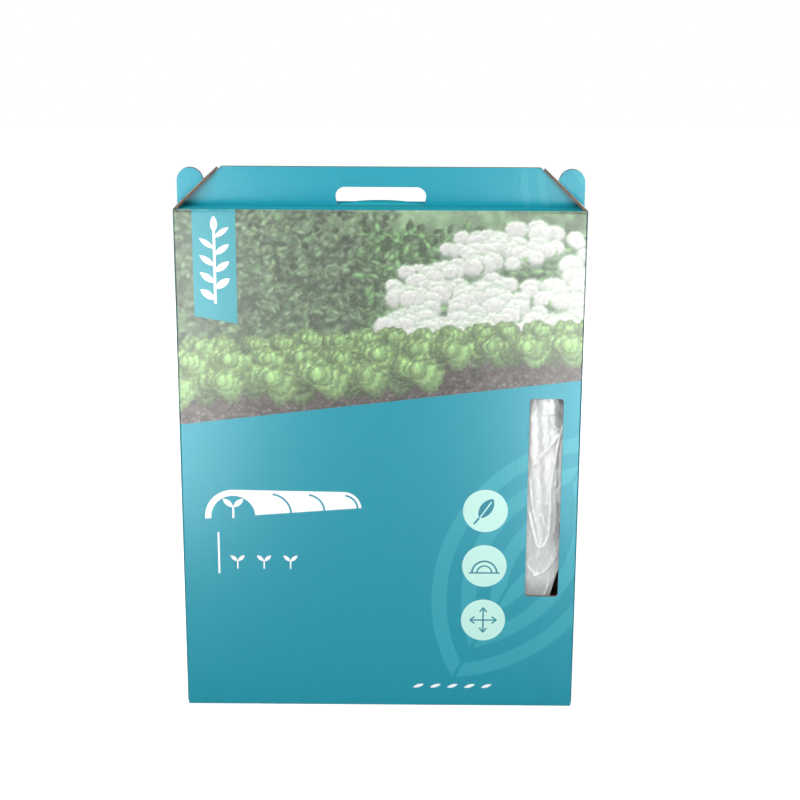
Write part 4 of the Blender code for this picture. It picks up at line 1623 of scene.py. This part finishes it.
@dataclass(frozen=True)
class GatheredFilm:
    """The polythene between the hoops, folded in and out of each bay, and the end curtains."""

    CREASE = "crease"

    sizes: HoopSizes = HOOPS
    bay_length: float = 0.480
    bay_half_depth: float = 0.0030
    wire_room: float = 0.0024
    stack_room: float = 0.0027
    end_size: Point = (0.450, 0.450)
    end_area: float = 0.181
    window_depth: float = -0.0274
    edge_notch: float = 0.0095
    coarse: float = 0.0055
    fine: float = 0.00105
    bay_columns: int = 36
    end_columns: int = 40
    window_columns: int = 76
    seed: int = 11

    def length(self) -> float:
        """How long the film is along a hoop."""
        s = self.sizes
        return 2 * (s.arch_centre - s.feet - s.film_foot) + math.pi * s.half_span

    def stations(self, run: np.ndarray) -> tuple[np.ndarray, np.ndarray]:
        """Points on a hoop's centre line at distances along it, and the way inwards there."""
        s = self.sizes
        low = s.feet + s.film_foot
        leg, crown = s.arch_centre - low, math.pi * s.half_span
        turn = ramp(run, leg, leg + crown) * math.pi
        falling = np.where(run > leg + crown, low + self.length() - run, s.arch_centre)
        up = np.where(run < leg, low + run, falling)
        points = np.stack([-s.half_span * np.cos(turn), up + s.half_span * np.sin(turn)], 1)
        return points, np.stack([np.cos(turn), -np.sin(turn)], 1)

    def spacing(self, window: bool) -> tuple[np.ndarray, np.ndarray]:
        """Distances along the hoop and shares of the way across one run of the film.

        Args:
            window: the sheet is the one behind the window, so it is finer there.

        Returns:
            Both, in order.
        """
        s = self.sizes
        run = np.arange(0, self.length(), self.coarse)
        if not window:
            return np.append(run, self.length()), np.linspace(0, 1, self.bay_columns + 1)[:-1]
        low, high = CARTON.window[2] - 0.006, CARTON.window[3] + 0.006
        start = self.length() - (high - s.feet - s.film_foot)
        dense = np.arange(start, start + high - low, self.fine)
        before, after = run[run < start - self.fine], run[run > dense[-1] + self.fine]
        run = np.concatenate([before, dense, after, [self.length()]])
        share = np.arccos(1 - 2 * np.linspace(0.07, 0.55, self.window_columns)) / math.pi
        wide = np.linspace(0, 1, self.end_columns + 1)[:-1]
        return run, np.sort(np.concatenate([wide[wide < share[0]], share, wide[wide > share[-1]]]))

    def ridges(self, x: np.ndarray, z: np.ndarray) -> tuple[np.ndarray, np.ndarray]:
        """The curtain's long creases behind the window, at places in millimetres.

        Args:
            x, z: the places.

        Returns:
            How far each place stands out, in millimetres, and how white it is, the whiteness partly a painted
            highlight on the creases.
        """
        rise, white = np.zeros(x.shape), np.zeros(x.shape)
        for index, (width, height, tone, points) in enumerate(WINDOW_CREASES):
            nearest, along = np.full(x.shape, 1e3), np.zeros(x.shape)
            past = 0.0
            total = sum(math.dist(a, b) for a, b in zip(points, points[1:]))
            for (x0, z0), (x1, z1) in zip(points, points[1:]):
                run = math.dist((x0, z0), (x1, z1))
                share = ((x - x0) * (x1 - x0) + (z - z0) * (z1 - z0)) / run**2
                share = np.clip(share, 0, 1)
                gap = np.hypot(x - x0 - share * (x1 - x0), z - z0 - share * (z1 - z0))
                closer = gap < nearest
                nearest, along = np.where(closer, gap, nearest), np.where(closer, past + share * run, along)
                past += run
            fade = np.clip(np.minimum(along, total - along) / 4 + 0.35, 0, 1)
            uneven = 0.78 + 0.22 * np.sin(along * 0.42 + index) * np.sin(along * 0.17 + 2 * index)
            reach = width * (0.6 + 0.6 * uneven)
            rise = np.maximum(rise, height * fade * np.exp(-nearest / (1.6 * reach)))
            white = np.maximum(white, tone * fade * uneven * np.exp(-((nearest / reach) ** 2)))
        return rise, white

    def crumple(
        self, u: np.ndarray, v: np.ndarray, size: float, count: int, rng: np.random.Generator
    ) -> np.ndarray:
        """Sharp folds in many directions, from -1 to 1, mostly along the hoop.

        Args:
            u, v: places across and along the film, in metres.
            size: width of the widest folds.
            count: how many directions.
            rng: the seeded source of directions.

        Returns:
            The height at each place.
        """
        total, weight = np.zeros(np.broadcast(u, v).shape), 0.0
        for k in range(count):
            angle, pace = rng.normal(0, 0.55), 1.45**k
            bend = 0.35 * np.sin(v / (size * 3.1) + rng.uniform(0, TAU))
            phase = (u * math.cos(angle) + v * math.sin(angle)) * pace / size + bend + rng.uniform(0, 2)
            total += (np.abs(phase % 2 - 1) * 2 - 1) / pace**0.85
            weight += 1 / pace**0.85
        return total / weight

    def reach(self, height: np.ndarray) -> tuple[np.ndarray, np.ndarray]:
        """Where the film starts and ends inwards of the wire at heights."""
        s = self.sizes
        drift = s.skirt_drift * ramp(height, s.feet + s.skirt_top, s.feet + s.film_foot)
        crown = ramp(height, s.arch_centre, s.arch_centre + s.half_span)
        gather = s.leg_gather + (s.crown_gather - s.leg_gather) * crown
        return drift - s.lap, gather * (1 - 0.4 * drift / s.skirt_drift) + drift

    def hollow(self, height: np.ndarray) -> np.ndarray:
        """How far inwards of the wire the front curtain's edge is pulled at the window's top."""
        edge = CARTON.window[1] - self.edge_notch * ramp(height, 0.366, CARTON.window[3])
        open_share = ramp(height, 0.360, 0.366) * ramp(height, 0.450, 0.420)
        return (self.sizes.half_span - edge + self.sizes.lap) * open_share - self.sizes.lap

    def behind_window(
        self, x: np.ndarray, z: np.ndarray, folds: np.ndarray
    ) -> tuple[np.ndarray, np.ndarray]:
        """The front curtain where the window shows it.

        Args:
            x, z: places in metres.
            folds: the crumple's height there, from -1 to 1.

        Returns:
            Its depth in metres, and how white it is: white along the creases, partly painted highlight, and
                below 0 where shade is painted.
        """
        right, up = x / MM, z / MM
        rise, white = self.ridges(right, up)
        broad = 0.55 * np.sin(x * 470 + 2.4 * np.sin(z * 17 + 1.1)) + 0.45 * np.sin(z * 46 + x * 90)
        recede = 2.6 * ramp(right, 202.5, 214.5) ** 1.3
        aside = np.clip((right - 204.5) * 0.04, -1, 1)
        behind = (0.50 * broad + 0.45 * folds - 1.2 * rise + recede + 0.3 * aside) * MM
        # Painted shade: darker at the right strip, in the hollow at the top right, at the top left and
        # towards the foot.
        painted_shade = 0.42 * ramp(right, 205.5, 213.5) * ramp(up, 185, 215)
        painted_shade += 0.30 * ramp(right, 203, 209) * ramp(up, 366, 374)
        painted_shade += 0.32 * ramp(right, 191, 183) * ramp(up, 372, 384)
        painted_shade += 0.34 * ramp(up, 169, 155)
        return self.window_depth + behind, white - painted_shade * (1 - white)

    def sheet(
        self, name: str, limits: Point, runs: int, wrinkle: float, film: bpy.types.Material,
        length: float, seed: int, window: bool = False,
    ) -> bpy.types.Object:
        """Build one sheet that goes in and out between the hoops.

        Args:
            name: the piece's name.
            limits: depth of the sheet's first and last layer.
            runs: how many layers it folds into.
            wrinkle: how far its folds stand out.
            film: its material.
            length: its flat length across the folds.
            seed: picks its folds.
            window: the sheet is the one behind the window.

        Returns:
            The piece.
        """
        rng = np.random.default_rng(self.seed + seed)
        run, share = self.spacing(window)
        points, inwards = self.stations(run)
        shares = [share if k % 2 == 0 else 1 - share[::-1] for k in range(runs)]
        across = np.concatenate([(k + part) / runs for k, part in enumerate(shares)] + [[1.0]])[None, :]
        start, end = (edge[:, None] for edge in self.reach(points[:, 1]))
        v = run[:, None]
        if window:
            start = np.maximum(start, np.where(v > self.length() / 2, self.hollow(points[:, 1:]), -1.0))
        hem = 0.006 + 0.004 * np.sin(v * 25 + seed) + 0.003 * np.sin(v * 61 + 2 * seed)
        swing = 0.5 - 0.5 * np.cos(math.pi * runs * across)
        u = start + (end + hem - start) * swing
        middle, half = (limits[0] + limits[1]) / 2, (limits[1] - limits[0]) / 2
        free = ramp(u, 0.0035, 0.0095)
        layer = middle + half * (2 * across - 1) * (0.42 + 0.58 * free)
        folds = self.crumple(u, v, 0.011, 6, rng)
        x = points[:, :1] + inwards[:, :1] * u
        z = points[:, 1:] + inwards[:, 1:] * u
        white = np.zeros(x.shape)
        if window:
            shown = (x > 0) & (across < 0.5) & (z < 0.42)
            depth, white = self.behind_window(x, z, folds)
            layer, white = np.where(shown, depth, layer), np.where(shown, white, 0)
            folds = np.where(shown, 0, folds)
        y = layer + wrinkle * folds * (0.25 + 0.75 * free)
        y = np.clip(y, limits[0] - 0.0017, limits[1] + 0.0017)
        return self.woven(name, (x, y, z), (across[0] * length, run), white, film)

    def woven(
        self, name: str, places: tuple[np.ndarray, ...], flat: tuple[np.ndarray, ...], white: np.ndarray,
        film: bpy.types.Material,
    ) -> bpy.types.Object:
        """Join a grid of places into one sheet.

        Args:
            name: the piece's name.
            places: the grids of x, y and z.
            flat: the columns' and the rows' places on the flat sheet, for its UV map.
            white: the grid of how white the sheet is.
            film: its material.

        Returns:
            The piece.
        """
        tall, wide = white.shape
        grid = np.arange(tall * wide).reshape(tall, wide)
        faces = np.stack([grid[:-1, :-1], grid[:-1, 1:], grid[1:, 1:], grid[1:, :-1]], -1).reshape(-1, 4)
        mesh = bpy.data.meshes.new(name)
        mesh.from_pydata(np.stack(places, -1).reshape(-1, 3).tolist(), [], faces.tolist())
        uv = mesh.uv_layers.new(name="film")
        corner = faces.ravel()
        corners = np.stack([flat[0][corner % wide], flat[1][corner // wide]], 1)
        uv.data.foreach_set("uv", corners.astype(np.float32).ravel())
        layer_of = mesh.attributes.new(self.CREASE, "FLOAT", "POINT")
        layer_of.data.foreach_set("value", white.astype(np.float32).ravel())
        mesh.materials.append(film)
        mesh.polygons.foreach_set("use_smooth", [True] * len(mesh.polygons))
        return link(name, mesh)

    def build(self, film: bpy.types.Material) -> None:
        """Build every bay and both end curtains and set them on the carton."""
        s, along = self.sizes, self.length()
        for index in range(s.count - 1):
            middle = (s.wire_y(index) + s.wire_y(index + 1)) / 2
            limits = (middle - self.bay_half_depth, middle + self.bay_half_depth)
            piece = self.sheet(f"film_{index + 1}", limits, 4, 0.0006, film, self.bay_length, index)
            dress(piece, "carton", "clear_film", f"film_bay_{index + 1}")
        for name, side, wire in (("front", -1, 0), ("rear", 1, s.count - 1)):
            near, far = s.wire_y(wire) + side * self.wire_room, side * (s.half_stack - self.stack_room)
            limits = (far, near) if side < 0 else (near, far)
            piece = self.sheet(
                f"film_curtain_{name}", limits, 2, 0.0017, film, self.bay_length / 2, 20 + wire, side < 0
            )
            dress(piece, "carton", "clear_film", f"film_end_{name}")


# Studio


@dataclass(frozen=True)
class Studio:
    """A pale floor, soft lamps, a white surround and the photograph's camera."""

    camera_place: Spot = (0.0335, -1.9586, 0.9421)
    yaw: float = -0.00517
    pitch: float = 0.2773
    roll: float = 0.00494
    lens: float = 76.5
    ambient: float = 0.45
    floor_size: float = 12.0
    floor_lift: float = 0.70
    veil: float = 24.0

    def camera(self) -> None:
        """Set the camera at the photograph's viewing angle."""
        cy, sy, cp, sp = math.cos(self.yaw), math.sin(self.yaw), math.cos(self.pitch), math.sin(self.pitch)
        forward, right = Vector((sy * cp, cy * cp, -sp)), Vector((cy, -sy, 0))
        up = right.cross(forward)
        c, s = math.cos(self.roll), math.sin(self.roll)
        right, up = c * right + s * up, -s * right + c * up
        data = bpy.data.cameras.new("camera")
        data.lens, data.sensor_width = self.lens, 36
        camera = bpy.data.objects.new("camera", data)
        turn = Matrix((right, up, -forward)).transposed().to_4x4()
        camera.matrix_world = Matrix.Translation(self.camera_place) @ turn
        bpy.context.scene.collection.objects.link(camera)
        bpy.context.scene.camera = camera

    def seen_directly(self, tree: bpy.types.NodeTree) -> Field:
        """1 for rays that show the surround itself, seen, reflected or through film."""
        path = tree.nodes.new("ShaderNodeLightPath")
        camera = Field(tree, path.outputs["Is Camera Ray"])
        glossy = Field(tree, path.outputs["Is Glossy Ray"])
        return camera.most(glossy).most(Field(tree, path.outputs["Is Transmission Ray"]))

    def world(self) -> None:
        """Light the scene evenly and show a white surround."""
        world = bpy.data.worlds.new("surround")
        bpy.context.scene.world = world
        world.use_nodes = True
        background = world.node_tree.nodes["Background"]
        background.inputs["Color"].default_value = (1, 1, 1, 1)
        strength = self.seen_directly(world.node_tree) * (1 - self.ambient) + self.ambient
        world.node_tree.links.new(strength.socket, background.inputs["Strength"])

    def lamp(
        self, name: str, place: Spot, target: Spot, size: Point, power: float, lights: bool = True
    ) -> None:
        """Add an area lamp that faces a target.

        Args:
            name: the lamp's name.
            place: where it stands.
            target: what it faces.
            size: its width and height.
            power: its power in watts.
            lights: it lights surfaces, and doesn't just show as a gloss on them.
        """
        data = bpy.data.lights.new(name, "AREA")
        data.shape, data.size, data.size_y, data.energy = "RECTANGLE", size[0], size[1], power
        thing = bpy.data.objects.new(name, data)
        thing.location = place
        thing.rotation_euler = (Vector(target) - Vector(place)).to_track_quat("-Z", "Y").to_euler()
        thing.visible_diffuse = lights
        thing.visible_camera = False
        bpy.context.scene.collection.objects.link(thing)

    def floor(self) -> None:
        """Lay the pale floor, which shows white but keeps the object's shadow."""
        bm = bmesh.new()
        bmesh.ops.create_grid(bm, x_segments=1, y_segments=1, size=self.floor_size / 2)
        shader = Shader("pale_floor")
        shader.constant(Base_Color=(0.72, 0.72, 0.72, 1), Roughness=0.9, Specular_IOR_Level=0.0)
        shader.feed("Emission Strength", self.seen_directly(shader.tree) * self.floor_lift)
        shader.constant(Emission_Color=(1, 1, 1, 1))
        thing = settle("floor", bm, shader.material)
        thing.location.z = -0.0002

    def build(self) -> None:
        """Set up the whole studio."""
        self.camera()
        self.world()
        self.floor()
        centre = (0, 0, 0.35)
        self.lamp("key_lamp", (-0.4, -1.5, 1.75), (0, 0, 0.6), (1.2, 0.8), 27)
        self.lamp("fill_lamp", (1.9, -2.0, 1.3), centre, (1.8, 1.8), 8)
        self.lamp("back_lamp", (0.4, 2.2, 0.8), centre, (1.8, 0.9), 20)
        wide, tall, away = 0.54, 0.56, 0.70
        for name, x in (("left_softbox", -0.26 - wide / 2), ("right_softbox", 0.235 + wide / 2)):
            power = self.veil * math.pi * wide * tall
            self.lamp(name, (x, -away, tall / 2), (x, 0, tall / 2), (wide, tall), power, False)
        bpy.context.scene.view_settings.view_transform = "Standard"


def dress_solids(inks: Inks, board: KraftBoard) -> None:
    """Give every solid that stays its own material."""
    w, d, step = CARTON.half_width, CARTON.half_depth, CARTON.board + CARTON.fit
    plan = (
        ("front_board", ("front_panel",), 1, -d, 1, 0, inks.teal),
        ("rear_board", ("rear_panel",), 1, d, -1, 0, inks.wall),
        ("left_board", ("left_side_panel",), 0, -w, 1, 1, inks.wall),
        ("right_board", ("right_side_panel",), 0, w, -1, 1, inks.wall),
        ("glue_flap_board", ("glue_flap",), 0, step - w, 1, 1, board.liner),
        ("base_board", ("bottom_front_flap", "bottom_rear_flap"), 2, 0.0, 1, 0, inks.teal),
        ("inner_base_board", ("bottom_left_flap", "bottom_right_flap"), 2, step, 1, 1, board.liner),
        ("shelf_board", ("front_top_shelf", "rear_top_shelf"), 2, CARTON.height, -1, 0, inks.shelf),
    )
    for name, nodes, depth, outside, inwards, run, ink in plan:
        material = board.panel(name, depth, outside, inwards, run, ink)
        for node in nodes:
            repaint(node, material)
    wire = ZincWire().material()
    for index in range(HOOPS.count):
        repaint(f"hoop_{index + 1}", wire)


def repaint(node: str, material: bpy.types.Material) -> None:
    """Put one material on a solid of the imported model."""
    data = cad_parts[node].data
    data.materials.clear()
    data.materials.append(material)


def main() -> None:
    """Build the looks, piece by piece."""
    logging.basicConfig(level=logging.INFO, format="%(name)s: %(message)s")
    Studio().build()
    board, printed = KraftBoard(), PrintedPaper()
    kraft = board.plain("kraft_paper")
    rim = KraftBoard(liner=linear(112, 128, 124), fibre=linear(82, 94, 92)).plain("rim_paper")
    core = KraftBoard(liner=linear(236, 226, 220), fibre=linear(206, 190, 182)).plain("core_paper")
    inks = {face: printed.material(face) for face in Face}
    dress_solids(printed.inks, board)
    picture = GardenPicture()
    picture.paint()
    paper = CartonPaper()
    dress(paper.front(picture, inks[Face.FRONT]), "carton", "printed_board")
    for thing in paper.walls(inks[Face.WALL]) + paper.top(inks[Face.SHELF]):
        dress(thing, "carton", "printed_board")
    tree = Fluting().tree()
    top = CarryTop()
    top.handles(tree, inks[Face.HANDLE], rim)
    top.tongue(tree, inks[Face.SHELF], kraft)
    top.flaps(tree, inks[Face.HANDLE], kraft, core)
    GatheredFilm().build(ClearFilm().material())


if __name__ == "__main__":
    main()
